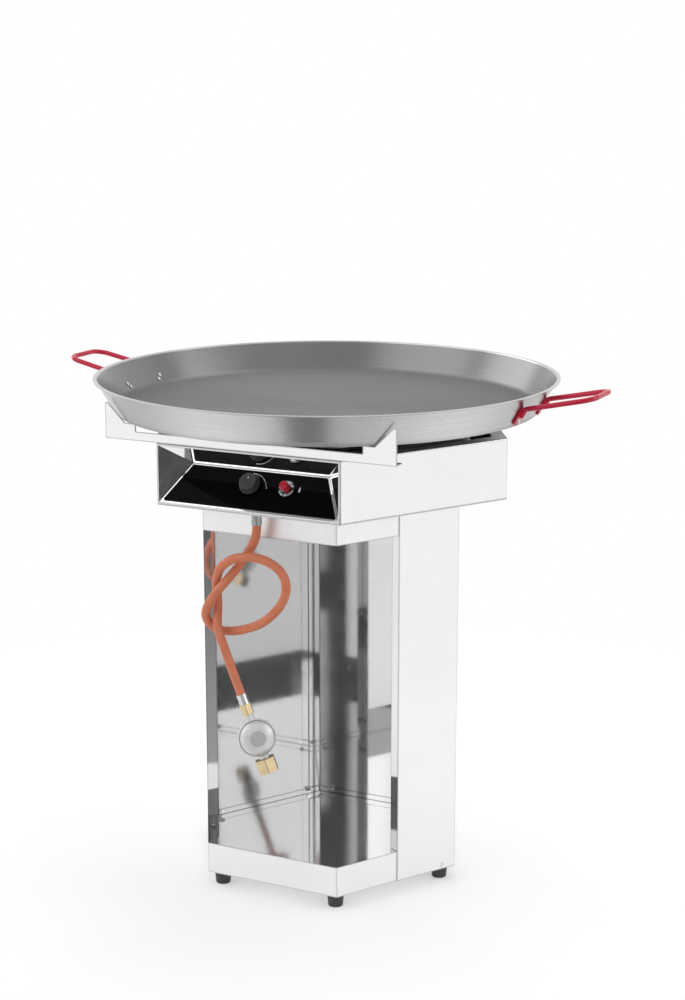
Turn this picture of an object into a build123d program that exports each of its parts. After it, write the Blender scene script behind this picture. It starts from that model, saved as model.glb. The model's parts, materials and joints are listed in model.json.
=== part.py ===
from build123d import *
from math import atan2, cos, hypot, pi, radians, sin, sqrt, tan
import os

# Gas paella cooker: hexagonal stand, burner unit with a recessed control panel, and a wide pan.
# Millimetres, Z up, origin on the floor under the middle of the stand, control panel facing -Y.

# Sheet and clearances
SHEET = 1.2
FOLD_RADIUS = 2.0
FIT = 0.2
SEAT_GAP = 0.1

# Stand
STAND_SIDE = 250.0
STAND_HEIGHT = 670.0
STAND_FLANGE = 20.0
SEAM_GAP = 0.6
SEAM_RETURN = 20.0
CORNER_LAP = 24.0
END_TAB = 16.0
RAIL_HEIGHT = 55.0
SKIRT_HEIGHT = 55.0
UPSTAND_HEIGHT = 12.0
FOOT_HEIGHT = 25.0
FOOT_TOP_RADIUS = 15.0
FOOT_BOTTOM_RADIUS = 12.5
FOOT_EDGE_RADIUS = 1.5
FOOT_INSET = 30.0
FOOT_SCREW_DEPTH = 15.0

# Small fasteners
SCREW_RADIUS = 2.5
SCREW_HEAD_RADIUS = 4.8
SCREW_HEAD = 2.6
NUT_FLATS = 8.0
NUT_THICKNESS = 3.5
RIVET_RADIUS = 2.0
RIVET_HEAD_RADIUS = 4.0
RIVET_HEAD = 1.5
NUT_ROUNDING = 0.56
SEAM_SCREW_SHARE = 0.6
TRAY_RIVET_INSET = 28.0

# Burner housing
BURNER_SIDE = 335.0
BURNER_HEIGHT = 104.0
BURNER_FLANGE = 25.0
FLOOR_FLANGE = 12.0
VENT_LENGTH = 90.0
VENT_WIDTH = 12.0
VENT_DROP = 14.0
LOCATING_TAB_WIDTH = 40.0
LOCATING_TAB_DEPTH = 12.0
LOCATING_CLEARANCE = 1.5
FLOOR_RIVET_SPREAD = 110.0

# Recessed front and its controls
FRAME_STRIP = 3.0
RECESS_DEPTH = 48.0
RIDGE_RISE = 60.0
CHEEK_INSET = 38.5
OVERLAY = 1.5
OVERLAY_MARGIN = 3.5
OVERLAY_CORNER = 2.5
CONTROL_RISE = 46.5
TAP_X = -7.0
IGNITER_X = 59.0

# Gas tap, spindle and knob
TAP_RADIUS = 10.0
TAP_LENGTH = 34.0
NECK_RADIUS = 6.0
TAP_NUT_FLATS = 15.0
TAP_NUT_THICKNESS = 3.0
NECK_OVER_NUT = 1.0
SPINDLE_RADIUS = 3.8
SPINDLE_FLAT = 2.6
SPINDLE_REACH_IN = 8.0
SPINDLE_BORE_DEPTH = 14.0
PUSH_TRAVEL = 3.0
PUSH_PIN_RADIUS = 2.0
PUSH_PIN_LENGTH = 14.0
KNOB_RADIUS = 16.0
KNOB_TOP_RADIUS = 14.8
KNOB_SKIRT_RADIUS = 18.0
KNOB_SKIRT_HEIGHT = 3.0
KNOB_HEIGHT = 12.5
KNOB_GAP = 4.0
KNOB_HOLLOW_RADIUS = 10.0
KNOB_HOLLOW_DEPTH = 4.0
KNOB_SOCKET_DEPTH = 5.5
KNOB_EDGE_RADIUS = 1.5

# Piezo igniter
IGNITER_RADIUS = 10.5
IGNITER_LENGTH = 33.0
IGNITER_NECK_RADIUS = 9.0
BEZEL_RADIUS = 14.0
BEZEL_HEIGHT = 4.0
BEZEL_EDGE = 1.2
BUTTON_RADIUS = 7.5
BUTTON_CLEARANCE = 0.3
BUTTON_PROUD = 13.0
BUTTON_REACH_IN = 5.0
BUTTON_EDGE_RADIUS = 1.5
BUTTON_TRAVEL = 5.0

# Gas path from the hose to the rings
INLET_DEPTH = 22.0
INLET_BOSS_RADIUS = 8.0
INLET_BOSS_LENGTH = 20.0
NIPPLE_RADIUS = 7.0
NIPPLE_FLATS = 19.0
NIPPLE_HEX_LENGTH = 9.0
OUTLET_DEPTH = 27.0
OUTLET_RADIUS = 6.0
OUTLET_LENGTH = 22.0
INJECTOR_FLATS = 13.0
INJECTOR_LENGTH = 12.0
INJECTOR_TIP_RADIUS = 3.0
INJECTOR_TIP_LENGTH = 10.0
AIR_GAP = 6.0
MIXER_RADIUS = 10.0
MIXER_WALL = 1.5
MIXER_MOUTH_RADIUS = 13.0
MIXER_MOUTH_LENGTH = 12.0

# Ring burners, their feed and legs
RING_RADIUS = 9.0
RING_WALL = 1.5
RING_HEIGHT = 88.0
RING_CORNER = 35.0
OUTER_RING_SIDE = 262.0
INNER_RING_SIDE = 155.0
BAR_WIDTH = 18.0
BAR_UNDER_RING = 10.0
BAR_OVER_RING = 14.0
BAR_PAST_RING = 13.0
LEG_WIDTH = 26.0
LEG_THICKNESS = 2.0
LEG_FOOT = 16.0
CRADLE_DEPTH = 6.0

# Flame sensor and spark electrode
PILOT_ANGLE = 210.0
PILOT_SHIFT = 20.0
PILOT_SPACING = 18.0
PILOT_RING_GAP = 4.0
PILOT_DROP = 4.0
PILOT_FALL = 12.0
PILOT_LENGTH = 45.0
PILOT_PLATE_WIDTH = 38.0
PILOT_PLATE_BACK = 30.0
PILOT_PLATE_OVER = 10.0
SENSOR_RADIUS = 2.5
SENSOR_SLEEVE_RADIUS = 4.0
SENSOR_SLEEVE_LENGTH = 30.0
CERAMIC_RADIUS = 3.5
CERAMIC_LENGTH = 34.0
WIRE_RADIUS = 1.0
LINE_RADIUS = 1.5
LEAD_RADIUS = 1.8
LINE_BEND = 12.0

# Pan supports
SUPPORT_SHEET = 2.0
SUPPORT_FLANGE = 20.0
SUPPORT_STRIP = 15.0
LEDGE_HEIGHT = 28.0
LEDGE_INNER = 58.0
LEDGE_OUTER = 37.0
LEDGE_PAST_PAN = 3.2
HOOK_HEIGHT = 60.0
HOOK_TIP = 5.0
SUPPORT_SCREW_SPREAD = 120.0

# Hose, its ferrules, and its route: offsets from the end of the upper ferrule
HOSE_RADIUS = 7.5
FERRULE_RADIUS = 8.6
FERRULE_LENGTH = 18.0
GROOVE_WIDTH = 3.0
GROOVE_DEPTH = 0.6
HOSE_NUT_FLATS = 19.0
HOSE_NUT_LENGTH = 18.0
HOSE_BEND_SHARE = 0.45
HOSE_ROUTE = [
    (0, 0, 0), (0, 0, -22), (-22, 6, -54), (-41, 6, -80), (-70, -18, -121), (-86, -18, -145),
    (-95, -10, -164), (-91, 0, -182), (-77, 6, -192), (-56, 6, -191), (-28, 4, -184), (6, 0, -169),
    (34, -4, -146), (55, -8, -119), (61, -11, -92), (52, -14, -69), (28, -17, -54), (-2, -18, -50),
    (-34, -18, -56), (-59, -14, -72), (-76, -2, -95), (-82, 6, -118), (-78, 6, -143), (-68, -18, -178),
    (-58, -18, -203), (-43, -15, -246), (-26, -13, -291),
]

# Regulator
REGULATOR_RADIUS = 32.0
REGULATOR_AT = 79.0
REGULATOR_TURN = 37.5
REGULATOR_RIM = 3.0
REGULATOR_BACK = 15.0
REGULATOR_BACK_RADIUS = 21.0
REGULATOR_SHOULDER = 2.0
COVER_DOME = 12.0
COVER_BOSS_RADIUS = 14.0
COVER_BOSS = 1.0
COVER_BULGE = 1.5
OUTLET_NECK_RADIUS = 7.0
INLET_NECK_RADIUS = 9.0
INLET_NECK_LENGTH = 4.0
STEM_RADIUS = 7.0
STEM_LENGTH = 14.0
STEM_BORE_RADIUS = 3.0
STEM_COLLAR_RADIUS = 9.8
STEM_COLLAR = 3.7
SEAL_RADIUS = 8.5
SEAL_THICKNESS = 2.0
BOTTLE_NUT_FLATS = 32.0
BOTTLE_NUT_LENGTH = 24.0
BOTTLE_THREAD_RADIUS = 10.9
THREAD_RELIEF = 0.7
NUT_SPIN_GAP = 0.4

# Pan and its handles
PAN_RIM_RADIUS = 400.0
PAN_BASE_RADIUS = 365.0
PAN_HEIGHT = 55.0
PAN_WALL = 2.0
PAN_LIP = 4.0
PAN_CORNER = 6.0
HANDLE_REACH = 97.0
HANDLE_RADIUS = 4.3
HANDLE_HALF_WIDTH = 52.0
HANDLE_END_HALF_WIDTH = 48.0
HANDLE_RISE_ANGLE = 12.0
HANDLE_LEAVES_AT = 33.0
HANDLE_CORNER = 24.0
HANDLE_BEND = 9.0
LUG_WIDTH = 19.0
LUG_LENGTH = 34.0
LUG_THICKNESS = 3.5
LUG_OVER_CORNER = 15.95
LUG_ROD_CLEARANCE = 1.0
HANDLE_RIVET_RADIUS = 2.5
HANDLE_RIVET_HEAD_RADIUS = 3.4
HANDLE_RIVET_HEAD = 2.2
HANDLE_RIVET_SPLAY = 6.4
HANDLE_RIVET_STEP = 7.0
HANDLE_RIVET_DROP = 3.0

# Worked out from the above
HEX = sqrt(3) / 2
STAND_APOTHEM = STAND_SIDE * HEX
STAND_TOP = FOOT_HEIGHT + STAND_HEIGHT
TRAY_FLOOR = FOOT_HEIGHT + SHEET
BURNER_APOTHEM = BURNER_SIDE * HEX
BURNER_LOW = STAND_TOP
BURNER_FLOOR = BURNER_LOW + SHEET
BURNER_TOP = BURNER_LOW + BURNER_HEIGHT
FASCIA_LOW = BURNER_FLOOR + SHEET
FASCIA_HIGH = BURNER_TOP - SHEET
PANEL_LOW = FASCIA_LOW + FRAME_STRIP
PANEL_HIGH = FASCIA_HIGH - FRAME_STRIP
OPENING_HALF = BURNER_SIDE / 2 - FRAME_STRIP
RIDGE_HALF = OPENING_HALF - CHEEK_INSET
SLOPE = hypot(RECESS_DEPTH, RIDGE_RISE)
NECK_TOP = OVERLAY + TAP_NUT_THICKNESS + NECK_OVER_NUT
KNOB_LOW = OVERLAY + KNOB_GAP
RING_Z = BURNER_LOW + RING_HEIGHT
INNER_REAR = INNER_RING_SIDE * HEX
OUTER_REAR = OUTER_RING_SIDE * HEX
FERRULE_LOW = BURNER_LOW - NIPPLE_HEX_LENGTH - FERRULE_LENGTH
PAN_LOW = BURNER_TOP + LEDGE_HEIGHT
HANDLE_DRILL = 4 * (PAN_WALL + LUG_THICKNESS)
PAN_WALL_TOP = PAN_RIM_RADIUS - PAN_LIP
PAN_LEAN = atan2(PAN_WALL_TOP - PAN_BASE_RADIUS, PAN_HEIGHT)
PAN_CORNER_TOP = PAN_WALL + PAN_CORNER * tan((pi / 2 - PAN_LEAN) / 2) * cos(PAN_LEAN)
LUG_MIDDLE = PAN_CORNER_TOP + LUG_OVER_CORNER
SUPPORT_PLANE = BURNER_APOTHEM - SUPPORT_SHEET / 2
SUPPORT_LENGTH = 2 * (sqrt((PAN_BASE_RADIUS + LEDGE_PAST_PAN) ** 2 - SUPPORT_PLANE ** 2) + LEDGE_OUTER)
BASE = (Align.CENTER, Align.CENTER, Align.MIN)
CORNER = (Align.MIN, Align.MIN, Align.MIN)
FAR = 3 * (STAND_TOP + BURNER_SIDE)


# Shared helpers

def rod(start, end, radius):
    """A round bar from one point to another."""
    axis = Vector(end) - Vector(start)
    return Plane(origin=start, z_dir=axis) * Cylinder(radius, axis.length, align=BASE)


def hex_rod(start, end, flats):
    """A hexagonal bar with slightly rounded corners, as turned nuts have."""
    axis = Vector(end) - Vector(start)
    plane = Plane(origin=start, z_dir=axis)
    bar = extrude(plane * RegularPolygon(flats / 2, 6, major_radius=False), amount=axis.length)
    return bar & rod(start, end, NUT_ROUNDING * flats)


def along(start, direction, distance):
    """The point at a distance from another."""
    return Vector(start) + Vector(direction).normalized() * distance


def hex_plate(side, low, high, corner=FOLD_RADIUS):
    """A hexagonal plate with rounded corners."""
    outline = fillet(RegularPolygon(side, 6).vertices(), corner)
    return Pos(0, 0, low) * extrude(outline, amount=high - low)


def hex_band(side, low, high):
    """A hexagonal band of one sheet's thickness inwards from its outer faces, folded at its corners."""
    return hex_plate(side, low, high) - hex_plate(side - SHEET / HEX, low, high, FOLD_RADIUS - SHEET)


def hex_flange(side, width, low):
    """A flat hexagonal flange of one sheet's thickness, measured inwards, mitred at its inner corners."""
    opening = Pos(0, 0, low) * extrude(RegularPolygon(side - width / HEX, 6), amount=SHEET)
    return hex_plate(side, low, low + SHEET) - opening


def fold_edge(shape, side, height):
    """Rounds the outer edge at a height, where a wall is folded over into a flange."""
    outer = [
        edge for edge in shape.edges().filter_by_position(Axis.Z, height, height)
        if hypot(edge.center().X, edge.center().Y) > side * HEX - SHEET / 2
    ]
    return fillet(outer, FOLD_RADIUS)


def block(x, y, z):
    """A box given by its ranges."""
    return Pos(x[0], y[0], z[0]) * Box(x[1] - x[0], y[1] - y[0], z[1] - z[0], align=CORNER)


def both_sides(shape):
    return shape + mirror(shape, about=Plane.YZ)


def group(shapes):
    """Separate solids kept together in one node."""
    return Compound(children=[solid for shape in shapes for solid in shape.solids()])


def six_fold(shape):
    return [Rot(0, 0, 60 * turn) * shape for turn in range(6)]


def face_plane(apothem, angle, height):
    """Plane on a hexagon's face: X along the face, Y up, Z outwards."""
    turn = radians(angle)
    return Plane(
        origin=(apothem * cos(turn), apothem * sin(turn), height),
        x_dir=(-sin(turn), cos(turn), 0),
        z_dir=(cos(turn), sin(turn), 0),
    )


# Stand

def seam_plane():
    """Plane at the right-hand seam, half way along a front face: X inwards, Y towards the front."""
    return Plane(
        origin=(0.75 * STAND_SIDE, -STAND_APOTHEM / 2, 0), x_dir=(-HEX, 0.5, 0), z_dir=(0, 0, 1)
    )


def seam_block(inward, ahead, height):
    return seam_plane() * block(inward, ahead, height)


def front_half(gap):
    """Everything in front of the seams, seen from above; a negative gap reaches behind them."""
    seam = seam_plane()
    reach = 3 * STAND_FLANGE
    outside = seam.from_local_coords((-reach, gap, 0))
    inside = seam.from_local_coords((reach, gap, 0))
    outline = Polyline(
        (outside.X, outside.Y), (inside.X, inside.Y), (-inside.X, inside.Y), (-outside.X, outside.Y),
        (-2 * STAND_SIDE, -2 * STAND_SIDE), (2 * STAND_SIDE, -2 * STAND_SIDE), close=True,
    )
    return extrude(make_face(outline), amount=FAR)


def seam_screw_points():
    """Height of each seam screw: one through the skirt and one through the rail."""
    return (FOOT_HEIGHT + SEAM_SCREW_SHARE * SKIRT_HEIGHT, STAND_TOP - SEAM_SCREW_SHARE * RAIL_HEIGHT)


def seam_rod(behind, ahead, height, radius):
    """A round bar on a seam screw's axis, between two distances from the seam."""
    inward = SHEET + END_TAB / 2
    start = seam_plane().from_local_coords((inward, behind, height))
    end = seam_plane().from_local_coords((inward, ahead, height))
    return rod(start, end, radius)


def seam_holes():
    low, high = seam_screw_points()
    holes = seam_rod(-SEAM_RETURN, SEAM_RETURN, low, SCREW_RADIUS + FIT)
    holes += seam_rod(-SEAM_RETURN, SEAM_RETURN, high, SCREW_RADIUS + FIT)
    return both_sides(holes)


def tray_rivet_planes():
    """Planes of the rivets that hold the tray's upstand to the rear faces."""
    height = FOOT_HEIGHT + SEAM_SCREW_SHARE * UPSTAND_HEIGHT
    offset_along = STAND_SIDE / 2 - TRAY_RIVET_INSET
    places = [(30, 1), (30, -1), (90, 1), (90, -1), (150, 1), (150, -1), (-30, 1), (210, -1)]
    return [
        face_plane(STAND_APOTHEM, angle, height) * Pos(side * offset_along, 0, 0) for angle, side in places
    ]


def tray_rivet_holes():
    drill = Cylinder(RIVET_RADIUS + FIT / 2, 8 * SHEET)
    return [place * drill for place in tray_rivet_planes()]


def rear_shell():
    """Folded rear of the stand, with its top flange and the returns beside the front opening."""
    shell = hex_band(STAND_SIDE, FOOT_HEIGHT, STAND_TOP)
    shell += hex_flange(STAND_SIDE, STAND_FLANGE, STAND_TOP - SHEET)
    shell = fold_edge(shell, STAND_SIDE, STAND_TOP) - front_half(-SEAM_GAP / 2)
    edge = -SEAM_GAP / 2
    low = FOOT_HEIGHT + UPSTAND_HEIGHT + SHEET
    shell += both_sides(seam_block((0, SEAM_RETURN), (edge - SHEET, edge), (low, STAND_TOP)))
    shell += corner_lap(low)
    shell -= seam_holes()
    for hole in tray_rivet_holes():
        shell -= hole
    return shell


def corner_lap(low):
    """Strips of the rear face that lap onto the faces beside it, inside both rear corners."""
    half = STAND_SIDE / 2 - 1.5 * SHEET / HEX
    face = STAND_APOTHEM - SHEET
    strip = block((face - SHEET, face + SHEET / 2), (half - CORNER_LAP, half), (low, STAND_TOP))
    return both_sides(Rot(0, 0, 30) * strip)


def end_tabs(low, high):
    """Tabs bent in at both ends of a front strip, against the shell's returns."""
    edge = SEAM_GAP / 2
    return both_sides(seam_block((0, END_TAB), (edge, edge + SHEET), (low, high)))


def top_rail():
    low = STAND_TOP - RAIL_HEIGHT
    rail = hex_band(STAND_SIDE, low, STAND_TOP)
    rail += hex_flange(STAND_SIDE, STAND_FLANGE, STAND_TOP - SHEET)
    rail = fold_edge(rail, STAND_SIDE, STAND_TOP) & front_half(SEAM_GAP / 2)
    rail += end_tabs(low, STAND_TOP)
    return rail - seam_holes()


def bottom_tray():
    """Floor of the stand: skirt flush with the shell in front, upstand inside it at the rear."""
    inner_side = STAND_SIDE - (SHEET + FIT) / HEX
    ahead = front_half(SEAM_GAP / 2)
    skirt = hex_plate(STAND_SIDE, FOOT_HEIGHT, TRAY_FLOOR)
    skirt += hex_band(STAND_SIDE, FOOT_HEIGHT, FOOT_HEIGHT + SKIRT_HEIGHT)
    tray = fold_edge(skirt, STAND_SIDE, FOOT_HEIGHT) & ahead
    upstand = hex_plate(inner_side, FOOT_HEIGHT, TRAY_FLOOR)
    upstand += hex_band(inner_side, FOOT_HEIGHT, FOOT_HEIGHT + UPSTAND_HEIGHT)
    tray += fold_edge(upstand, inner_side, FOOT_HEIGHT) - front_half(-SEAM_GAP / 2)
    tray += hex_plate(inner_side - END_TAB / HEX, FOOT_HEIGHT, TRAY_FLOOR)
    tray += end_tabs(FOOT_HEIGHT, FOOT_HEIGHT + SKIRT_HEIGHT)
    tray -= seam_holes()
    for hole in tray_rivet_holes():
        tray -= hole
    drill = Pos(STAND_SIDE - FOOT_INSET, 0, FOOT_HEIGHT) * Cylinder(SCREW_RADIUS + FIT, 4 * SHEET)
    for hole in six_fold(drill):
        tray -= hole
    return tray


def tray_rivets():
    """Flush outside, with a flat head on the upstand inside."""
    depth = 2 * SHEET + FIT
    head = Pos(0, 0, -depth) * Cylinder(RIVET_HEAD_RADIUS, RIVET_HEAD, align=(*BASE[:2], Align.MAX))
    shank = Cylinder(RIVET_RADIUS, depth, align=(*BASE[:2], Align.MAX))
    return group([place * (head + shank) for place in tray_rivet_planes()])


def seam_screws():
    """Screws from the front strips into nuts behind the shell's returns."""
    face = SEAM_GAP / 2 + SHEET
    screws = []
    for height in seam_screw_points():
        screw = seam_rod(-face - NUT_THICKNESS, face, height, SCREW_RADIUS)
        screw += seam_rod(face, face + SCREW_HEAD, height, SCREW_HEAD_RADIUS)
        screw += seam_rod(-face - NUT_THICKNESS, -face, height, NUT_FLATS / 2)
        screws += [screw, mirror(screw, about=Plane.YZ)]
    return group(screws)


def foot():
    outline = make_face(Polyline(
        (0, 0), (FOOT_BOTTOM_RADIUS, 0), (FOOT_TOP_RADIUS, FOOT_HEIGHT), (0, FOOT_HEIGHT), close=True
    ))
    lower_edge = outline.vertices().sort_by_distance((FOOT_BOTTOM_RADIUS, 0, 0))[0]
    body = revolve(Plane.XZ * fillet(lower_edge, FOOT_EDGE_RADIUS), axis=Axis.Z)
    hole = Pos(0, 0, FOOT_HEIGHT) * Cylinder(
        SCREW_RADIUS + FIT, FOOT_SCREW_DEPTH, align=(*BASE[:2], Align.MAX)
    )
    return body - hole


def feet():
    return group(six_fold(Pos(STAND_SIDE - FOOT_INSET, 0, 0) * foot()))


def foot_screws():
    screw = Pos(0, 0, TRAY_FLOOR) * Cylinder(SCREW_HEAD_RADIUS, SCREW_HEAD, align=BASE)
    screw += rod((0, 0, FOOT_HEIGHT - FOOT_SCREW_DEPTH + 1), (0, 0, TRAY_FLOOR), SCREW_RADIUS)
    return group(six_fold(Pos(STAND_SIDE - FOOT_INSET, 0, 0) * screw))


# Burner housing

def support_screw_points():
    """Middle of each support screw, on the burner's top flange."""
    depth = BURNER_APOTHEM - SUPPORT_SHEET - SUPPORT_FLANGE / 2
    return [
        (x, side * depth) for side in (-1, 1) for x in (-SUPPORT_SCREW_SPREAD, 0, SUPPORT_SCREW_SPREAD)
    ]


def floor_rivet_points():
    """Two rivets beside the middle of each face, through the floor and the wall's lower flange."""
    distance = BURNER_APOTHEM - FLOOR_FLANGE / 2
    points = []
    for turn in range(6):
        for side in (-1, 1):
            plane = face_plane(distance, 30 + 60 * turn, 0)
            point = plane.from_local_coords((side * FLOOR_RIVET_SPREAD, 0, 0))
            points.append((point.X, point.Y))
    return points


def vertical_holes(points, radius, height):
    return [Pos(x, y, height) * Cylinder(radius, 8 * SHEET) for x, y in points]


def housing_wall():
    """Folded wall of five faces with a flange above and below; the front face is open."""
    wall = hex_band(BURNER_SIDE, BURNER_FLOOR, BURNER_TOP)
    wall += hex_flange(BURNER_SIDE, BURNER_FLANGE, FASCIA_HIGH)
    wall += hex_flange(BURNER_SIDE, FLOOR_FLANGE, BURNER_FLOOR)
    wall = fold_edge(wall, BURNER_SIDE, BURNER_TOP)
    front = -BURNER_APOTHEM
    wall -= block((-BURNER_SIDE, BURNER_SIDE), (front - 1, front + SHEET), (FASCIA_LOW, FASCIA_HIGH))
    for angle in (30, 90, 150):
        plane = face_plane(BURNER_APOTHEM, angle, BURNER_TOP - VENT_DROP)
        wall -= extrude(plane * SlotOverall(VENT_LENGTH, VENT_WIDTH), amount=4 * SHEET, both=True)
    for hole in vertical_holes(support_screw_points(), SCREW_RADIUS + FIT, BURNER_TOP):
        wall -= hole
    for hole in vertical_holes(floor_rivet_points(), RIVET_RADIUS + FIT / 2, BURNER_FLOOR):
        wall -= hole
    return wall


def housing_floor():
    """Floor plate that rests on the stand, with bent tabs that centre it in the stand's flange."""
    floor = hex_plate(BURNER_SIDE, BURNER_LOW, BURNER_FLOOR)
    reach = STAND_APOTHEM - STAND_FLANGE - LOCATING_CLEARANCE
    half = LOCATING_TAB_WIDTH / 2
    tab = block((-half, half), (reach - SHEET, reach), (BURNER_LOW - LOCATING_TAB_DEPTH, BURNER_LOW))
    for angle in (0, 120, 240):
        floor += Rot(0, 0, angle) * tab
    inlet = inlet_point()
    floor -= Pos(inlet.X, inlet.Y, BURNER_LOW) * Cylinder(NIPPLE_RADIUS + FIT, 4 * SHEET)
    for hole in vertical_holes(floor_rivet_points(), RIVET_RADIUS + FIT / 2, BURNER_FLOOR):
        floor -= hole
    return floor


def floor_rivets():
    rivet = rod((0, 0, BURNER_LOW), (0, 0, FASCIA_LOW), RIVET_RADIUS)
    rivet += rod((0, 0, FASCIA_LOW), (0, 0, FASCIA_LOW + RIVET_HEAD), RIVET_HEAD_RADIUS)
    return group([Pos(x, y, 0) * rivet for x, y in floor_rivet_points()])


# Recessed front

def panel():
    """Plane of the sloped panel: X across, Y up the slope, Z out of it."""
    return Plane(
        origin=(0, -BURNER_APOTHEM, PANEL_LOW), x_dir=(1, 0, 0), z_dir=(0, -RIDGE_RISE, RECESS_DEPTH)
    )


def control_at(x):
    """Place of a control on the panel."""
    return panel().location * Pos(x, CONTROL_RISE, 0)


def control_point(x, out):
    """A point on a control's axis, so far out of the panel."""
    return (control_at(x) * Pos(0, 0, out)).position


def control_rod(x, low, high, radius):
    """A round bar on a control's axis."""
    return rod(control_point(x, low), control_point(x, high), radius)


def recess(grow):
    """The hipped hollow of the front, grown all round by a sheet for its outer side."""
    front = -BURNER_APOTHEM
    profile = make_face(Polyline(
        (front, PANEL_LOW), (front + RECESS_DEPTH, PANEL_LOW + RIDGE_RISE), (front, PANEL_HIGH), close=True
    ))
    plan = make_face(Polyline(
        (-OPENING_HALF, front), (OPENING_HALF, front), (RIDGE_HALF, front + RECESS_DEPTH),
        (-RIDGE_HALF, front + RECESS_DEPTH), close=True,
    ))
    if grow:
        profile = offset(profile, grow, kind=Kind.INTERSECTION)
        plan = offset(plan, grow, kind=Kind.INTERSECTION)
    hip = extrude(Plane.YZ * profile, amount=BURNER_SIDE, both=True) & extrude(plan, amount=FAR)
    return hip - block((-FAR, FAR), (front - FAR, front), (0, FAR))


def control_fascia():
    """Front frame and the hipped recess behind it, folded from one sheet."""
    front = -BURNER_APOTHEM
    half = BURNER_SIDE / 2
    fascia = block((-half, half), (front, front + SHEET), (FASCIA_LOW, FASCIA_HIGH))
    fascia = fascia + recess(SHEET) - recess(0)
    fascia &= hex_plate(BURNER_SIDE, FASCIA_LOW, FASCIA_HIGH)
    fascia -= control_rod(TAP_X, -4 * SHEET, 4 * SHEET, NECK_RADIUS + FIT)
    fascia -= control_rod(IGNITER_X, -4 * SHEET, 4 * SHEET, IGNITER_NECK_RADIUS + FIT)
    return fascia


def fascia_overlay():
    outline = make_face(Polyline(
        (-OPENING_HALF, 0), (OPENING_HALF, 0), (RIDGE_HALF, SLOPE), (-RIDGE_HALF, SLOPE), close=True
    ))
    outline = offset(outline, -OVERLAY_MARGIN, kind=Kind.INTERSECTION)
    outline = fillet(outline.vertices(), OVERLAY_CORNER)
    plate = extrude(panel() * outline, amount=OVERLAY)
    plate -= control_rod(TAP_X, -OVERLAY, 2 * OVERLAY, NECK_RADIUS + FIT)
    return plate - control_rod(IGNITER_X, -OVERLAY, 2 * OVERLAY, IGNITER_NECK_RADIUS + FIT)


# Gas tap and knob

def inlet_point():
    """Where the tap's vertical inlet meets its axis."""
    return control_point(TAP_X, -INLET_DEPTH)


def outlet_point():
    return control_point(TAP_X, -OUTLET_DEPTH)


def inlet_boss_end():
    return inlet_point() - Vector(0, 0, INLET_BOSS_LENGTH)


def gas_tap():
    """Tap body behind the panel, with a neck through it, a downward inlet and a rearward outlet."""
    tap = control_rod(TAP_X, -SHEET - TAP_LENGTH, -SHEET, TAP_RADIUS)
    tap += control_rod(TAP_X, -SHEET - 1, NECK_TOP, NECK_RADIUS)
    tap += rod(inlet_point(), inlet_boss_end(), INLET_BOSS_RADIUS)
    tap += rod(outlet_point(), outlet_point() + Vector(0, OUTLET_LENGTH, 0), OUTLET_RADIUS)
    bore_end = -SHEET - SPINDLE_BORE_DEPTH
    tap -= control_rod(TAP_X, bore_end, NECK_TOP + 1, SPINDLE_RADIUS + FIT)
    pin_end = -SHEET - SPINDLE_REACH_IN - PUSH_PIN_LENGTH - 2 * PUSH_TRAVEL
    return tap - control_rod(TAP_X, pin_end, bore_end + 1, PUSH_PIN_RADIUS + FIT)


def tap_nut():
    """Flat nut that clamps the tap's neck to the panel, under the knob."""
    low, high = control_point(TAP_X, OVERLAY), control_point(TAP_X, OVERLAY + TAP_NUT_THICKNESS)
    return hex_rod(low, high, TAP_NUT_FLATS) - control_rod(TAP_X, 0, NECK_TOP, NECK_RADIUS + FIT / 2)


def valve_push_pin():
    """Pin behind the spindle that opens the flame-failure valve when the knob is pushed."""
    start = -SHEET - SPINDLE_REACH_IN
    return control_rod(TAP_X, start - PUSH_PIN_LENGTH, start, PUSH_PIN_RADIUS)


def spindle_flat(depth, low, high):
    """Cutter for the flat of the spindle, at a distance from its axis."""
    side = 2 * SPINDLE_RADIUS
    return control_at(TAP_X) * block((-side, side), (-side, -depth), (low, high))


def tap_spindle():
    top = KNOB_LOW + KNOB_HOLLOW_DEPTH + KNOB_SOCKET_DEPTH - FIT
    spindle = control_rod(TAP_X, -SHEET - SPINDLE_REACH_IN, top, SPINDLE_RADIUS)
    return spindle - spindle_flat(SPINDLE_FLAT, NECK_TOP + PUSH_TRAVEL, top + 1)


def control_knob():
    """Round knob with a skirt, hollow underneath, with a D-shaped socket for the spindle."""
    outline = make_face(Polyline(
        (0, 0), (KNOB_SKIRT_RADIUS, 0), (KNOB_SKIRT_RADIUS, KNOB_SKIRT_HEIGHT),
        (KNOB_RADIUS, KNOB_SKIRT_HEIGHT), (KNOB_TOP_RADIUS, KNOB_HEIGHT), (0, KNOB_HEIGHT), close=True,
    ))
    top_edge = outline.vertices().sort_by_distance((KNOB_TOP_RADIUS, KNOB_HEIGHT, 0))[0]
    outline = fillet(top_edge, KNOB_EDGE_RADIUS)
    knob = control_at(TAP_X) * Pos(0, 0, KNOB_LOW) * revolve(Plane.XZ * outline, axis=Axis.Z)
    hollow_top = KNOB_LOW + KNOB_HOLLOW_DEPTH
    socket_top = hollow_top + KNOB_SOCKET_DEPTH
    knob -= control_rod(TAP_X, KNOB_LOW - 1, hollow_top, KNOB_HOLLOW_RADIUS)
    socket = control_rod(TAP_X, hollow_top - 1, socket_top, SPINDLE_RADIUS + SEAT_GAP)
    return knob - (socket - spindle_flat(SPINDLE_FLAT + SEAT_GAP, hollow_top - 2, socket_top + 1))


# Piezo igniter

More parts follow.
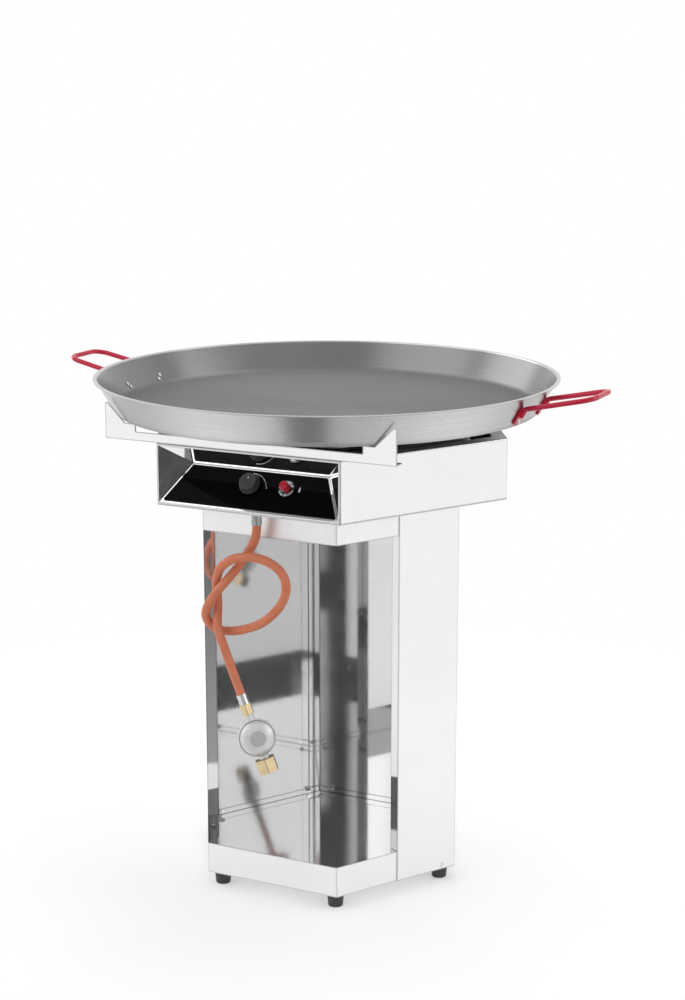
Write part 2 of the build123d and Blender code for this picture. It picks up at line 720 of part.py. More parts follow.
def igniter_body():
    bezel_seat = OVERLAY + BEZEL_HEIGHT - BEZEL_EDGE
    body = control_rod(IGNITER_X, -SHEET - IGNITER_LENGTH, -SHEET, IGNITER_RADIUS)
    body += control_rod(IGNITER_X, -SHEET - 1, bezel_seat, IGNITER_NECK_RADIUS)
    depth = BUTTON_REACH_IN + 1.5 * BUTTON_TRAVEL
    return body - control_rod(IGNITER_X, -depth, bezel_seat + 1, BUTTON_RADIUS + BUTTON_CLEARANCE)


def igniter_bezel():
    """Chromed ring nut screwed on the igniter's neck."""
    outline = make_face(Polyline(
        (IGNITER_NECK_RADIUS + SEAT_GAP, 0), (BEZEL_RADIUS, 0), (BEZEL_RADIUS, BEZEL_HEIGHT - BEZEL_EDGE),
        (BEZEL_RADIUS - 2 * BEZEL_EDGE, BEZEL_HEIGHT), (BUTTON_RADIUS + BUTTON_CLEARANCE, BEZEL_HEIGHT),
        (BUTTON_RADIUS + BUTTON_CLEARANCE, BEZEL_HEIGHT - BEZEL_EDGE + FIT / 2),
        (IGNITER_NECK_RADIUS + SEAT_GAP, BEZEL_HEIGHT - BEZEL_EDGE + FIT / 2), close=True,
    ))
    return control_at(IGNITER_X) * Pos(0, 0, OVERLAY) * revolve(Plane.XZ * outline, axis=Axis.Z)


def igniter_button():
    length = BUTTON_REACH_IN + OVERLAY + BEZEL_HEIGHT + BUTTON_PROUD
    button = Cylinder(BUTTON_RADIUS, length, align=BASE)
    button = fillet(button.edges().group_by(Axis.Z)[-1], BUTTON_EDGE_RADIUS)
    return control_at(IGNITER_X) * Pos(0, 0, -BUTTON_REACH_IN) * button


# Gas path and ring burners

def inlet_nipple():
    """Threaded stub from the tap through the floor, with a hexagon against the floor's underside."""
    top = inlet_boss_end()
    low = Vector(top.X, top.Y, BURNER_LOW)
    return rod(low, top, NIPPLE_RADIUS) + hex_rod(low - Vector(0, 0, NIPPLE_HEX_LENGTH), low, NIPPLE_FLATS)


def injector_start():
    return outlet_point() + Vector(0, OUTLET_LENGTH, 0)


def injector():
    start = injector_start()
    shoulder = start + Vector(0, INJECTOR_LENGTH, 0)
    tip = shoulder + Vector(0, INJECTOR_TIP_LENGTH, 0)
    return hex_rod(start, shoulder, INJECTOR_FLATS) + rod(shoulder, tip, INJECTOR_TIP_RADIUS)


def mixer_start():
    return injector_start() + Vector(0, INJECTOR_LENGTH + AIR_GAP, 0)


def mixing_tube():
    """Tube that takes gas and air to the rear feed, with a flared mouth round the injector."""
    start = mixer_start()
    length = INNER_REAR - BAR_WIDTH / 2 - start.Y
    outline = make_face(Polyline(
        (MIXER_MOUTH_RADIUS - MIXER_WALL, 0), (MIXER_MOUTH_RADIUS, 0), (MIXER_RADIUS, MIXER_MOUTH_LENGTH),
        (MIXER_RADIUS, length), (MIXER_RADIUS - MIXER_WALL, length),
        (MIXER_RADIUS - MIXER_WALL, MIXER_MOUTH_LENGTH), close=True,
    ))
    tube = revolve(Plane.XZ * outline, axis=Axis.Z)
    return Plane(origin=start, x_dir=(1, 0, 0), z_dir=(0, 1, 0)) * tube


def cradle_leg(height, radius):
    """Bent strip with a cradle for a tube of the given radius along Y, and a foot on the floor."""
    half = LEG_WIDTH / 2
    top = height - radius + CRADLE_DEPTH
    plate = block((-half, half), (0, LEG_THICKNESS), (BURNER_FLOOR, top))
    plate -= rod((0, -1, height), (0, LEG_THICKNESS + 1, height), radius + SEAT_GAP)
    return plate + block((-half, half), (0, LEG_FOOT), (BURNER_FLOOR, BURNER_FLOOR + LEG_THICKNESS))


def ring_legs():
    """Legs under the middle of the rings' sides."""
    leg = cradle_leg(RING_Z, RING_RADIUS)
    places = [(OUTER_REAR, angle) for angle in (30, 150, 210, 330)]
    places += [(INNER_REAR, angle) for angle in (150, 330)]
    return group([Rot(0, 0, angle) * Pos(distance, 0, 0) * leg for distance, angle in places])


def tube_saddle():
    """Short leg under the middle of the mixing tube."""
    start = mixer_start()
    middle = (start.Y + INNER_REAR) / 2
    return Pos(TAP_X, middle, 0) * cradle_leg(start.Z, MIXER_RADIUS)


def riser_manifold():
    """Square feed: a leg from the floor at the inner ring, and a bar from there over to the outer ring."""
    half = BAR_WIDTH / 2
    across = (TAP_X - half, TAP_X + half)
    top = RING_Z + BAR_OVER_RING
    leg = block(across, (INNER_REAR - half, INNER_REAR + half), (BURNER_FLOOR, top))
    bar = block(across, (INNER_REAR - half, OUTER_REAR + BAR_PAST_RING), (RING_Z - BAR_UNDER_RING, top))
    return leg + bar


def ring_burner(side):
    """Hexagonal tube with rounded corners, from one side of the feed round to the other."""
    rear = side * HEX
    corners = [(side * cos(radians(a)), side * sin(radians(a)), RING_Z) for a in range(60, -241, -60)]
    path = FilletPolyline(
        (TAP_X + BAR_WIDTH / 2, rear, RING_Z), *corners, (TAP_X - BAR_WIDTH / 2, rear, RING_Z),
        radius=RING_CORNER,
    )
    tube = Circle(RING_RADIUS) - Circle(RING_RADIUS - RING_WALL)
    return sweep(Plane(origin=path @ 0, z_dir=path % 0) * tube, path=path)


# Flame sensor, spark electrode and their lines

def pilot_plane():
    """Plane at the inner ring's front-left side: X along the side, Y up, Z outwards."""
    return face_plane(INNER_REAR - RING_RADIUS - PILOT_RING_GAP, PILOT_ANGLE, RING_Z - PILOT_DROP)


def pilot_point(shift, back):
    """A point on a pilot rod's axis, so far back from the tip; the rods fall away from the ring."""
    return pilot_plane().from_local_coords(
        (PILOT_SHIFT + shift, -PILOT_FALL * back / PILOT_LENGTH, -back)
    )


def pilot_rod(shift, start, end, radius):
    return rod(pilot_point(shift, start), pilot_point(shift, end), radius)


def pilot_bracket():
    """Bent plate on the floor that holds the sensor and the electrode."""
    half = PILOT_PLATE_WIDTH / 2
    plane = pilot_plane()
    down = BURNER_FLOOR - plane.origin.Z
    across = (PILOT_SHIFT - half, PILOT_SHIFT + half)
    back = -PILOT_PLATE_BACK
    plate = block(across, (down, PILOT_PLATE_OVER - PILOT_FALL), (back, back + LEG_THICKNESS))
    plate += block(across, (down, down + LEG_THICKNESS), (back - LEG_FOOT, back + LEG_THICKNESS))
    bracket = plane * plate
    bracket -= pilot_rod(-PILOT_SPACING / 2, 0, PILOT_LENGTH, SENSOR_SLEEVE_RADIUS + SEAT_GAP)
    return bracket - pilot_rod(PILOT_SPACING / 2, 0, PILOT_LENGTH, CERAMIC_RADIUS + SEAT_GAP)


def thermocouple():
    shift = -PILOT_SPACING / 2
    sleeve = pilot_rod(shift, PILOT_LENGTH - SENSOR_SLEEVE_LENGTH, PILOT_LENGTH, SENSOR_SLEEVE_RADIUS)
    return sleeve + pilot_rod(shift, 0, PILOT_LENGTH, SENSOR_RADIUS)


def spark_electrode():
    """Ceramic insulator of the electrode, bored for its wire."""
    shift = PILOT_SPACING / 2
    ceramic = pilot_rod(shift, PILOT_LENGTH - CERAMIC_LENGTH, PILOT_LENGTH, CERAMIC_RADIUS)
    return ceramic - pilot_rod(shift, 0, PILOT_LENGTH - LEG_THICKNESS, WIRE_RADIUS + SEAT_GAP)


def electrode_wire():
    return pilot_rod(PILOT_SPACING / 2, 0, PILOT_LENGTH - LEG_THICKNESS, WIRE_RADIUS)


def bent_line(points, radius):
    """A thin line of straight runs and equal bends."""
    path = FilletPolyline(*points, radius=LINE_BEND)
    return sweep(Plane(origin=path @ 0, z_dir=path % 0) * Circle(radius), path=path)


def thermocouple_line():
    """Capillary from the sensor's end down to the floor and along it to the tap's side."""
    low = BURNER_FLOOR + 4 * LINE_RADIUS
    end = pilot_point(-PILOT_SPACING / 2, PILOT_LENGTH)
    before_end = pilot_point(-PILOT_SPACING / 2, PILOT_LENGTH + 2 * LINE_BEND)
    tap_side = control_point(TAP_X, -INLET_DEPTH / 2) - Vector(TAP_RADIUS, 0, 0)
    ahead = tap_side - Vector(3 * LINE_BEND, 0, 0)
    points = [
        end, before_end, Vector(before_end.X, before_end.Y - 3 * LINE_BEND, low),
        Vector(ahead.X, ahead.Y + 5 * LINE_BEND, low), ahead, tap_side,
    ]
    return bent_line(points, LINE_RADIUS)


def ignition_lead():
    """Insulated lead from the electrode's end, under the mixing tube, to the igniter's rear."""
    low = BURNER_FLOOR + 2 * LEAD_RADIUS
    end = pilot_point(PILOT_SPACING / 2, PILOT_LENGTH)
    before_end = pilot_point(PILOT_SPACING / 2, PILOT_LENGTH + 2 * LINE_BEND)
    igniter_end = control_point(IGNITER_X, -SHEET - IGNITER_LENGTH)
    behind = control_point(IGNITER_X, -SHEET - IGNITER_LENGTH - 1.5 * LINE_BEND)
    points = [
        end, before_end, Vector(before_end.X, before_end.Y - LINE_BEND, low),
        Vector(IGNITER_X, behind.Y + 5 * LINE_BEND, low), behind, igniter_end,
    ]
    return bent_line(points, LEAD_RADIUS)


# Pan supports

def support_front():
    """Upright strip with a ledge and a hook at each end, and a flange screwed to the burner."""
    half = SUPPORT_LENGTH / 2
    outline = make_face(Polyline(
        (-half, 0), (half, 0), (half, HOOK_HEIGHT), (half - HOOK_TIP, HOOK_HEIGHT),
        (half - LEDGE_OUTER, LEDGE_HEIGHT), (half - LEDGE_INNER, LEDGE_HEIGHT),
        (half - LEDGE_INNER, SUPPORT_STRIP), (LEDGE_INNER - half, SUPPORT_STRIP),
        (LEDGE_INNER - half, LEDGE_HEIGHT), (LEDGE_OUTER - half, LEDGE_HEIGHT),
        (HOOK_TIP - half, HOOK_HEIGHT), (-half, HOOK_HEIGHT), close=True,
    ))
    front = -BURNER_APOTHEM
    upright = Plane(origin=(0, front + SUPPORT_SHEET, BURNER_TOP), x_dir=(1, 0, 0), z_dir=(0, -1, 0))
    support = extrude(upright * outline, amount=SUPPORT_SHEET)
    flange_end = front + SUPPORT_SHEET + SUPPORT_FLANGE
    support += block((-half, half), (front, flange_end), (BURNER_TOP, BURNER_TOP + SUPPORT_SHEET))
    for hole in vertical_holes(support_screw_points(), SCREW_RADIUS + FIT, BURNER_TOP):
        support -= hole
    return support


def support_rear():
    return mirror(support_front(), about=Plane.XZ)


def support_screws():
    flange_top = BURNER_TOP + SUPPORT_SHEET
    screw = rod((0, 0, flange_top), (0, 0, flange_top + SCREW_HEAD), SCREW_HEAD_RADIUS)
    screw += rod((0, 0, FASCIA_HIGH - NUT_THICKNESS), (0, 0, flange_top), SCREW_RADIUS)
    screw += hex_rod((0, 0, FASCIA_HIGH - NUT_THICKNESS), (0, 0, FASCIA_HIGH), NUT_FLATS)
    return group([Pos(x, y, 0) * screw for x, y in support_screw_points()])


# Hose and regulator

def hose_points():
    exit_point = Vector(inlet_point().X, inlet_point().Y, FERRULE_LOW)
    return [exit_point + Vector(step) for step in HOSE_ROUTE]


def hose_radii(points):
    """The largest bend that the two runs at each corner leave room for."""
    radii = []
    for before, corner, after in zip(points, points[1:], points[2:]):
        turn = radians((corner - before).get_angle(after - corner))
        run = min((corner - before).length, (after - corner).length)
        radii.append(HOSE_BEND_SHARE * run / tan(turn / 2))
    return radii


def hose_path():
    points = hose_points()
    return FilletPolyline(*points, radius=hose_radii(points))


def hose():
    """Rubber gas hose, hanging in one loose knot."""
    path = hose_path()
    return sweep(Plane(origin=path @ 0, z_dir=path % 0) * Circle(HOSE_RADIUS), path=path)


def hose_self_gap(path):
    """Least gap between stretches of the hose that pass each other."""
    step = HOSE_RADIUS / 3
    count = int(path.length / step)
    places = [path.position_at(number / count) for number in range(count + 1)]
    apart = int(4 * HOSE_RADIUS / step)
    nearest = min(
        (places[i] - places[j]).length for i in range(count + 1) for j in range(i + apart, count + 1)
    )
    return nearest - 2 * HOSE_RADIUS


def hose_ferrule_upper():
    inlet = inlet_point()
    return ferrule((inlet.X, inlet.Y, FERRULE_LOW), (inlet.X, inlet.Y, FERRULE_LOW + FERRULE_LENGTH))


def ferrule(start, end):
    """Crimped sleeve with a groove pressed round its middle."""
    middle = (Vector(start) + Vector(end)) / 2
    half_groove = (Vector(end) - Vector(start)).normalized() * GROOVE_WIDTH / 2
    low, high = middle - half_groove, middle + half_groove
    sleeve = rod(start, end, FERRULE_RADIUS)
    return sleeve - (rod(low, high, 2 * FERRULE_RADIUS) - rod(low, high, FERRULE_RADIUS - GROOVE_DEPTH))


def hose_end_direction():
    points = hose_points()
    return (points[-1] - points[-2]).normalized()


def below_hose(distance):
    """A point on the regulator's line, so far past the hose's lower end."""
    return along(hose_points()[-1], hose_end_direction(), distance)


def hose_ferrule_lower():
    return ferrule(below_hose(0), below_hose(FERRULE_LENGTH))


def hose_nut():
    return hex_rod(below_hose(FERRULE_LENGTH), below_hose(FERRULE_LENGTH + HOSE_NUT_LENGTH), HOSE_NUT_FLATS)


def regulator_plane():
    """Plane of the regulator's disc: Z out of its cover, X along the hose's line."""
    line = hose_end_direction()
    ahead = Vector(0, -1, 0)
    ahead = (ahead - line * ahead.dot(line)).normalized()
    across = ahead.cross(line)
    turn = radians(REGULATOR_TURN)
    return Plane(
        origin=below_hose(REGULATOR_AT), x_dir=line, z_dir=ahead * cos(turn) + across * sin(turn)
    )


def inlet_neck_end():
    return REGULATOR_AT + REGULATOR_RADIUS + INLET_NECK_LENGTH


def regulator_body():
    """Cast rear half with the crimped rim, the outlet neck and the inlet neck."""
    shoulder = REGULATOR_RADIUS - REGULATOR_SHOULDER
    outline = make_face(Polyline(
        (0, -REGULATOR_BACK), (REGULATOR_BACK_RADIUS, -REGULATOR_BACK), (shoulder, -REGULATOR_BACK / 2),
        (shoulder, -REGULATOR_RIM), (REGULATOR_RADIUS, -REGULATOR_RIM), (REGULATOR_RADIUS, 0), (0, 0),
        close=True,
    ))
    body = regulator_plane() * revolve(Plane.XZ * outline, axis=Axis.Z)
    necks = rod(below_hose(FERRULE_LENGTH + HOSE_NUT_LENGTH), below_hose(REGULATOR_AT), OUTLET_NECK_RADIUS)
    necks += rod(below_hose(REGULATOR_AT), below_hose(inlet_neck_end()), INLET_NECK_RADIUS)
    cover_space = regulator_plane() * Cylinder(REGULATOR_RADIUS, COVER_DOME + COVER_BOSS, align=BASE)
    return body + (necks - cover_space)


def regulator_cover():
    """Domed cover inside the crimped rim, with a low plain disc in its middle."""
    rim = REGULATOR_RADIUS
    foot = rim - REGULATOR_SHOULDER
    dome_foot = (foot, REGULATOR_RIM)
    dome_top = (COVER_BOSS_RADIUS, COVER_DOME)
    dome_middle = (
        (foot + COVER_BOSS_RADIUS) / 2 + COVER_BULGE, (REGULATOR_RIM + COVER_DOME) / 2 + COVER_BULGE
    )
    outline = make_face([
        Polyline((0, COVER_DOME + COVER_BOSS), (0, 0), (rim, 0), (rim, REGULATOR_RIM), dome_foot),
        ThreePointArc(dome_foot, dome_middle, dome_top),
        Polyline(dome_top, (COVER_BOSS_RADIUS, COVER_DOME + COVER_BOSS), (0, COVER_DOME + COVER_BOSS)),
    ])
    return regulator_plane() * revolve(Plane.XZ * outline, axis=Axis.Z)


def inlet_stem():
    """Bored stem with a collar that holds the union nut."""
    start, end = inlet_neck_end(), inlet_neck_end() + STEM_LENGTH
    stem = rod(below_hose(start), below_hose(end), STEM_RADIUS)
    stem += rod(below_hose(end - STEM_COLLAR), below_hose(end), STEM_COLLAR_RADIUS)
    return stem - rod(below_hose(start + STEM_RADIUS), below_hose(end + 1), STEM_BORE_RADIUS)


def inlet_seal():
    start = inlet_neck_end() + STEM_LENGTH
    seal = rod(below_hose(start), below_hose(start + SEAL_THICKNESS), SEAL_RADIUS)
    return seal - rod(below_hose(start - 1), below_hose(start + SEAL_THICKNESS + 1), STEM_BORE_RADIUS)


def bottle_nut():
    """Union nut for the gas bottle, free to turn on the stem, relieved behind its thread."""
    collar = inlet_neck_end() + STEM_LENGTH - STEM_COLLAR - NUT_SPIN_GAP
    thread = inlet_neck_end() + STEM_LENGTH + SEAL_THICKNESS + 2 * NUT_SPIN_GAP
    start = inlet_neck_end() + 2 * NUT_SPIN_GAP
    end = start + BOTTLE_NUT_LENGTH
    nut = hex_rod(below_hose(start), below_hose(end), BOTTLE_NUT_FLATS)
    nut -= rod(below_hose(start - 1), below_hose(collar + 1), STEM_RADIUS + NUT_SPIN_GAP)
    nut -= rod(below_hose(collar), below_hose(thread), BOTTLE_THREAD_RADIUS + THREAD_RELIEF)
    return nut - rod(below_hose(collar), below_hose(end + 1), BOTTLE_THREAD_RADIUS)


# Pan

def pan_wall_radius(height):
    """Outer radius of the pan's wall at a height over its underside."""
    return PAN_BASE_RADIUS + (PAN_WALL_TOP - PAN_BASE_RADIUS) * height / PAN_HEIGHT


def pan():
    flare = (PAN_WALL_TOP - PAN_BASE_RADIUS) / PAN_HEIGHT
    across = PAN_WALL * sqrt(1 + flare ** 2)
    lip_low = PAN_HEIGHT - PAN_WALL
    inner_base = pan_wall_radius(PAN_WALL) - across
    outline = make_face(Polyline(
        (0, 0), (PAN_BASE_RADIUS, 0), (pan_wall_radius(lip_low), lip_low), (PAN_RIM_RADIUS, lip_low),
        (PAN_RIM_RADIUS, PAN_HEIGHT), (PAN_WALL_TOP - across, PAN_HEIGHT), (inner_base, PAN_WALL),
        (0, PAN_WALL), close=True,
    ))
    outer_corner = outline.vertices().sort_by_distance((PAN_BASE_RADIUS, 0, 0))[0]
    outline = fillet(outer_corner, PAN_CORNER + PAN_WALL)
    inner_corner = outline.vertices().sort_by_distance((inner_base, PAN_WALL, 0))[0]
    outline = fillet(inner_corner, PAN_CORNER)
    bowl = Pos(0, 0, PAN_LOW) * revolve(Plane.XZ * outline, axis=Axis.Z)
    for place in handle_rivet_places():
        bowl -= place * Cylinder(HANDLE_RIVET_RADIUS + SEAT_GAP, HANDLE_DRILL)
    return bowl


def lug_plane(side, end):
    """Plane of a handle's lug on the pan's wall: X round the pan, Y up the wall, Z outwards."""
    radius = pan_wall_radius(LUG_MIDDLE)
    y = end * HANDLE_HALF_WIDTH
    x = side * sqrt(radius ** 2 - y ** 2)
    flare = (PAN_WALL_TOP - PAN_BASE_RADIUS) / PAN_HEIGHT
    return Plane(
        origin=(x, y, PAN_LOW + LUG_MIDDLE), x_dir=(-y, x, 0), z_dir=(x, y, -flare * radius)
    )


def handle_rivet_places():
    """Two rivets to each lug, the upper one further from the handle's middle."""
    places = []
    for side in (-1, 1):
        for end in (-1, 1):
            splay = side * end * HANDLE_RIVET_SPLAY / 2
            lug = lug_plane(side, end).location
            places.append(lug * Pos(-splay, -HANDLE_RIVET_DROP - HANDLE_RIVET_STEP, 0))
            places.append(lug * Pos(splay, -HANDLE_RIVET_DROP, 0))
    return places


def handle(side):
    """Bent rod with two flattened lugs riveted to the pan's wall."""
    lift = HANDLE_RADIUS + SEAT_GAP
    leave = HANDLE_LEAVES_AT - LUG_MIDDLE
    start = HANDLE_RIVET_HEAD_RADIUS + LUG_ROD_CLEARANCE - HANDLE_RIVET_DROP
    arms = []
    for end in (-1, 1):
        plane = lug_plane(side, end)
        low = plane.from_local_coords((0, start, lift))
        high = plane.from_local_coords((0, leave + HANDLE_RADIUS, lift))
        reach = PAN_RIM_RADIUS + HANDLE_REACH
        rise = (reach - abs(high.X)) * tan(radians(HANDLE_RISE_ANGLE))
        arms.append([low, high, Vector(side * reach, end * HANDLE_END_HALF_WIDTH, high.Z + rise)])
    points = arms[0] + arms[1][::-1]
    path = FilletPolyline(*points, radius=[HANDLE_BEND, HANDLE_CORNER, HANDLE_CORNER, HANDLE_BEND])
    bar = sweep(Plane(origin=path @ 0, z_dir=path % 0) * Circle(HANDLE_RADIUS), path=path)
    for end in (-1, 1):
        lug = SlotOverall(LUG_LENGTH, LUG_WIDTH, rotation=90)
        bar += lug_plane(side, end) * Pos(0, 0, SEAT_GAP) * extrude(lug, amount=LUG_THICKNESS)
    for place in handle_rivet_places():
        bar -= place * Cylinder(HANDLE_RIVET_RADIUS + SEAT_GAP, HANDLE_DRILL)
    return bar


def handle_left():
    return handle(-1)


def handle_right():
    return handle(1)


def handle_rivets():
    """Domed heads outside on the lugs, flat heads inside the pan."""
    lug_face = SEAT_GAP + LUG_THICKNESS
    inside = PAN_WALL + SEAT_GAP
    head = HANDLE_RIVET_HEAD
    outline = make_face(Polyline(
        (0, -inside - head / 2), (HANDLE_RIVET_HEAD_RADIUS, -inside - head / 2),
        (HANDLE_RIVET_HEAD_RADIUS, -inside), (HANDLE_RIVET_RADIUS, -inside),
        (HANDLE_RIVET_RADIUS, lug_face), (HANDLE_RIVET_HEAD_RADIUS, lug_face),
        (HANDLE_RIVET_RADIUS, lug_face + head), (0, lug_face + head), close=True,
    ))
    rivet = revolve(Plane.XZ * outline, axis=Axis.Z)
    return group([place * rivet for place in handle_rivet_places()])


PIECES = [
    rear_shell, top_rail, bottom_tray, tray_rivets, seam_screws, feet, foot_screws,
    housing_wall, housing_floor, floor_rivets, control_fascia, fascia_overlay,
    gas_tap, tap_nut, valve_push_pin, tap_spindle, control_knob,
    igniter_body, igniter_bezel, igniter_button,
    inlet_nipple, injector, mixing_tube, tube_saddle, riser_manifold, ring_legs,
    pilot_bracket, thermocouple, spark_electrode, electrode_wire, thermocouple_line, ignition_lead,
    support_front, support_rear, support_screws,
    hose_ferrule_upper, hose, hose_ferrule_lower, hose_nut,
    regulator_body, regulator_cover, inlet_stem, inlet_seal, bottle_nut,
    pan, handle_left, handle_right, handle_rivets,
]


def main():
    os.makedirs("parts", exist_ok=True)
    nodes = {piece.__name__: piece() for piece in PIECES}
    nodes["outer_ring"] = ring_burner(OUTER_RING_SIDE)
    nodes["inner_ring"] = ring_burner(INNER_RING_SIDE)
    for name, shape in nodes.items():
        export_step(shape, f"parts/{name}.step")
    path = hose_path()
    full = path.length * pi * HOSE_RADIUS ** 2
    print("hose length", round(path.length, 1), "least self gap", round(hose_self_gap(path), 2))
    print("hose volume over section times length", round(nodes["hose"].volume / full, 4))
    print("hose radii", [round(radius) for radius in hose_radii(hose_points())])


main()
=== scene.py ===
"""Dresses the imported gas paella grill: its finishes, gas hose, flame ports, welds, marks and stage.

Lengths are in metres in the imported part's own frame: Z is up, the floor is at zero and the controls
face -Y.
"""

import json
import math

import bmesh
import bpy
from bpy.props import FloatProperty, FloatVectorProperty, PointerProperty
from mathutils import Matrix, Vector
from mathutils.bvhtree import BVHTree


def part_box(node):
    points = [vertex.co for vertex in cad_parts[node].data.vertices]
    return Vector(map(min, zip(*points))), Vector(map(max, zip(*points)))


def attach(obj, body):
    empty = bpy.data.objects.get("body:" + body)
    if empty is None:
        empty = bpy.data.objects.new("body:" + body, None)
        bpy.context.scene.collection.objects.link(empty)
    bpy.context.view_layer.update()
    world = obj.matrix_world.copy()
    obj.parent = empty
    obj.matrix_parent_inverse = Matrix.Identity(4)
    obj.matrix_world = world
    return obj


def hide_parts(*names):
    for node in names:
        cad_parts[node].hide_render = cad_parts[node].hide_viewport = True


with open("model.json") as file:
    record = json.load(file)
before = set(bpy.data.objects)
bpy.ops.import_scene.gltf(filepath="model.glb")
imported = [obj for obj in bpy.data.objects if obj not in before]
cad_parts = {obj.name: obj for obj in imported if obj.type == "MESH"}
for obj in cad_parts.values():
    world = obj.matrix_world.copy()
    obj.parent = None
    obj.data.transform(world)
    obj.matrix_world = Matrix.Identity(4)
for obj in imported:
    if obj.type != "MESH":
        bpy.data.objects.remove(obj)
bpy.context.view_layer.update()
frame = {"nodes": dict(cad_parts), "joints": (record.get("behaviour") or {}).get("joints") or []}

bl_info = {
    "name": "Gas paella grill dressing",
    "version": (1, 0, 0),
    "blender": (4, 5, 0),
    "location": "View3D > Sidebar > Grill",
    "description": "Finishes, gas hose, flame ports, marks and stage of a gas paella grill",
    "category": "Object",
}

MM = 0.001
RIGHT = Vector((1, 0, 0))
UP = Vector((0, 0, 1))
WHITE = (1, 1, 1, 1)
SQUARE = ((-1, -1), (1, -1), (1, 1), (-1, 1))

# The hose leaves the burner here and follows these offsets, in millimetres, to its lower ferrule.
HOSE_EXIT = Vector((-0.007, -0.24389, 0.668))
HOSE_ROUTE = (
    (0, 0, 0), (0, 0, -22), (-22, 6, -54), (-41, 6, -80), (-70, -18, -121), (-86, -18, -145),
    (-95, -10, -164), (-91, 0, -182), (-77, 6, -192), (-56, 6, -191), (-28, 4, -184), (6, 0, -169),
    (34, -4, -146), (55, -8, -119), (61, -11, -92), (52, -14, -69), (28, -17, -54), (-2, -18, -50),
    (-34, -18, -56), (-59, -14, -72), (-76, -2, -95), (-82, 6, -118), (-78, 6, -143), (-68, -18, -178),
    (-58, -18, -203), (-43, -15, -246), (-26, -13, -291),
)

# Each lamp's place and the length of its side, and the point that all of them face.
LAMPS = {
    "key": ((-2.6, -3.0, 3.2), 4.3),
    "side": ((3.5, 0.9, 2.2), 2.4),
    "left": ((-3.5, 0.8, 2.2), 2.4),
    "top": ((0.2, 0.9, 4.2), 3.3),
}
LAMPS_AIM = Vector((0, 0, 0.5))

# Corners of the mats that only mirrors see: degrees from the part's front, and the distance from its
# middle. They lie a little over the floor.
MATS = {
    "near_mat": ((3, 0.53), (3, 3.4), (27, 3.4), (27, 0.49)),
    "far_mat": ((63.8, 2.9), (66.0, 6.5), (69.6, 6.5), (68.0, 2.9)),
}
MAT_LIFT = UP * 0.002

# The control axis, and the panel's own directions: out of the panel, and up its slope.
knob_turn = next(row for row in frame["joints"] if row["name"] == "knob_turn")
KNOB_CENTRE = Vector(knob_turn["pos_m"])
PANEL_OUT = Vector(knob_turn["axis"])
PANEL_UP = PANEL_OUT.cross(RIGHT)

# The drop that stands for a flame: half widths, and heights up the panel's slope.
FLAME = (
    (0.0, 0.0056), (0.0008, 0.0034), (0.0013, 0.0014), (0.0016, -0.0008), (0.0015, -0.0026),
    (0.0010, -0.0040), (0.0, -0.0048),
)
# The share of its height by which a printed mark also reaches into the panel.
MARK_SUNK = 0.3

# The ring and the disc on the regulator's cover: rows of a radius and a lift off the cover's surface.
GROOVE = ((0.0293, -0.0004), (0.0293, 0.00016), (0.0302, 0.00016), (0.0302, -0.0004))
PLATE = ((0.0, 0.00025), (0.0130, 0.00025), (0.0135, 0.00012), (0.0135, -0.0004), (0.0, -0.0004))
# From the cover's middle to where the rays that find its surface start.
RAY_START = 0.05
# How often the direction of the cover's least depth is refined, and a depth in all directions that
# keeps the sum solvable.
AXIS_ROUNDS = 60
AXIS_FLOOR = 1e-9

# Swellings of a weld bead: their share of its radius, their count round the tube and their phase.
BEAD_WAVES = ((0.18, 5, 10), (0.10, 9, 0))

# Scratches of the pan's grinding: their scale along the radius and round the pan, and how much of the
# pattern the fine ones make up.
FINE_SCRATCHES = (900, 2.2)
BROAD_SCRATCHES = (60, 1.4)
FINE_SHARE = 0.6

# How finely round shapes are made.
DISC_SIDES = 24
ARC_STEPS = 28
COVER_STEPS = 48
BEAD_STEPS = 32
BEAD_SIDES = 8
CORNER_STEPS = 10
PORT_SIDES = 12
PIN_SIDES = 16

# Points of new meshes that are nearer than the first are one point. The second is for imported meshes
# and for rows that meet in a middle.
MERGE = 1e-7
MERGE_WIDE = 1e-6

# Digits to which solids are put in order by their lowest corners.
ORDER_DIGITS = 5

# Places of a colour mix's two colours and of its result among the node's sockets.
MIX_FIRST, MIX_SECOND, MIX_RESULT = 6, 7, 2

# Rays that look for an edge, and how far the faces near it turn apart, as a cosine.
EDGE_SAMPLES = 6
EDGE_RANGE = (0.975, 0.9995)


# Settings of each kind, by name, description and default.
def metres(name, description, default):
    return FloatProperty(
        name=name, description=description, default=default, subtype="DISTANCE", unit="LENGTH")


def degrees(name, description, default):
    return FloatProperty(
        name=name, description=description, default=math.radians(default), subtype="ANGLE",
        unit="ROTATION")


def watts(name, description, default):
    return FloatProperty(name=name, description=description, default=default, unit="POWER")


def number(name, description, default):
    return FloatProperty(name=name, description=description, default=default)


def rgb(name, description, *default):
    return FloatVectorProperty(name=name, description=description, default=default, subtype="COLOR")


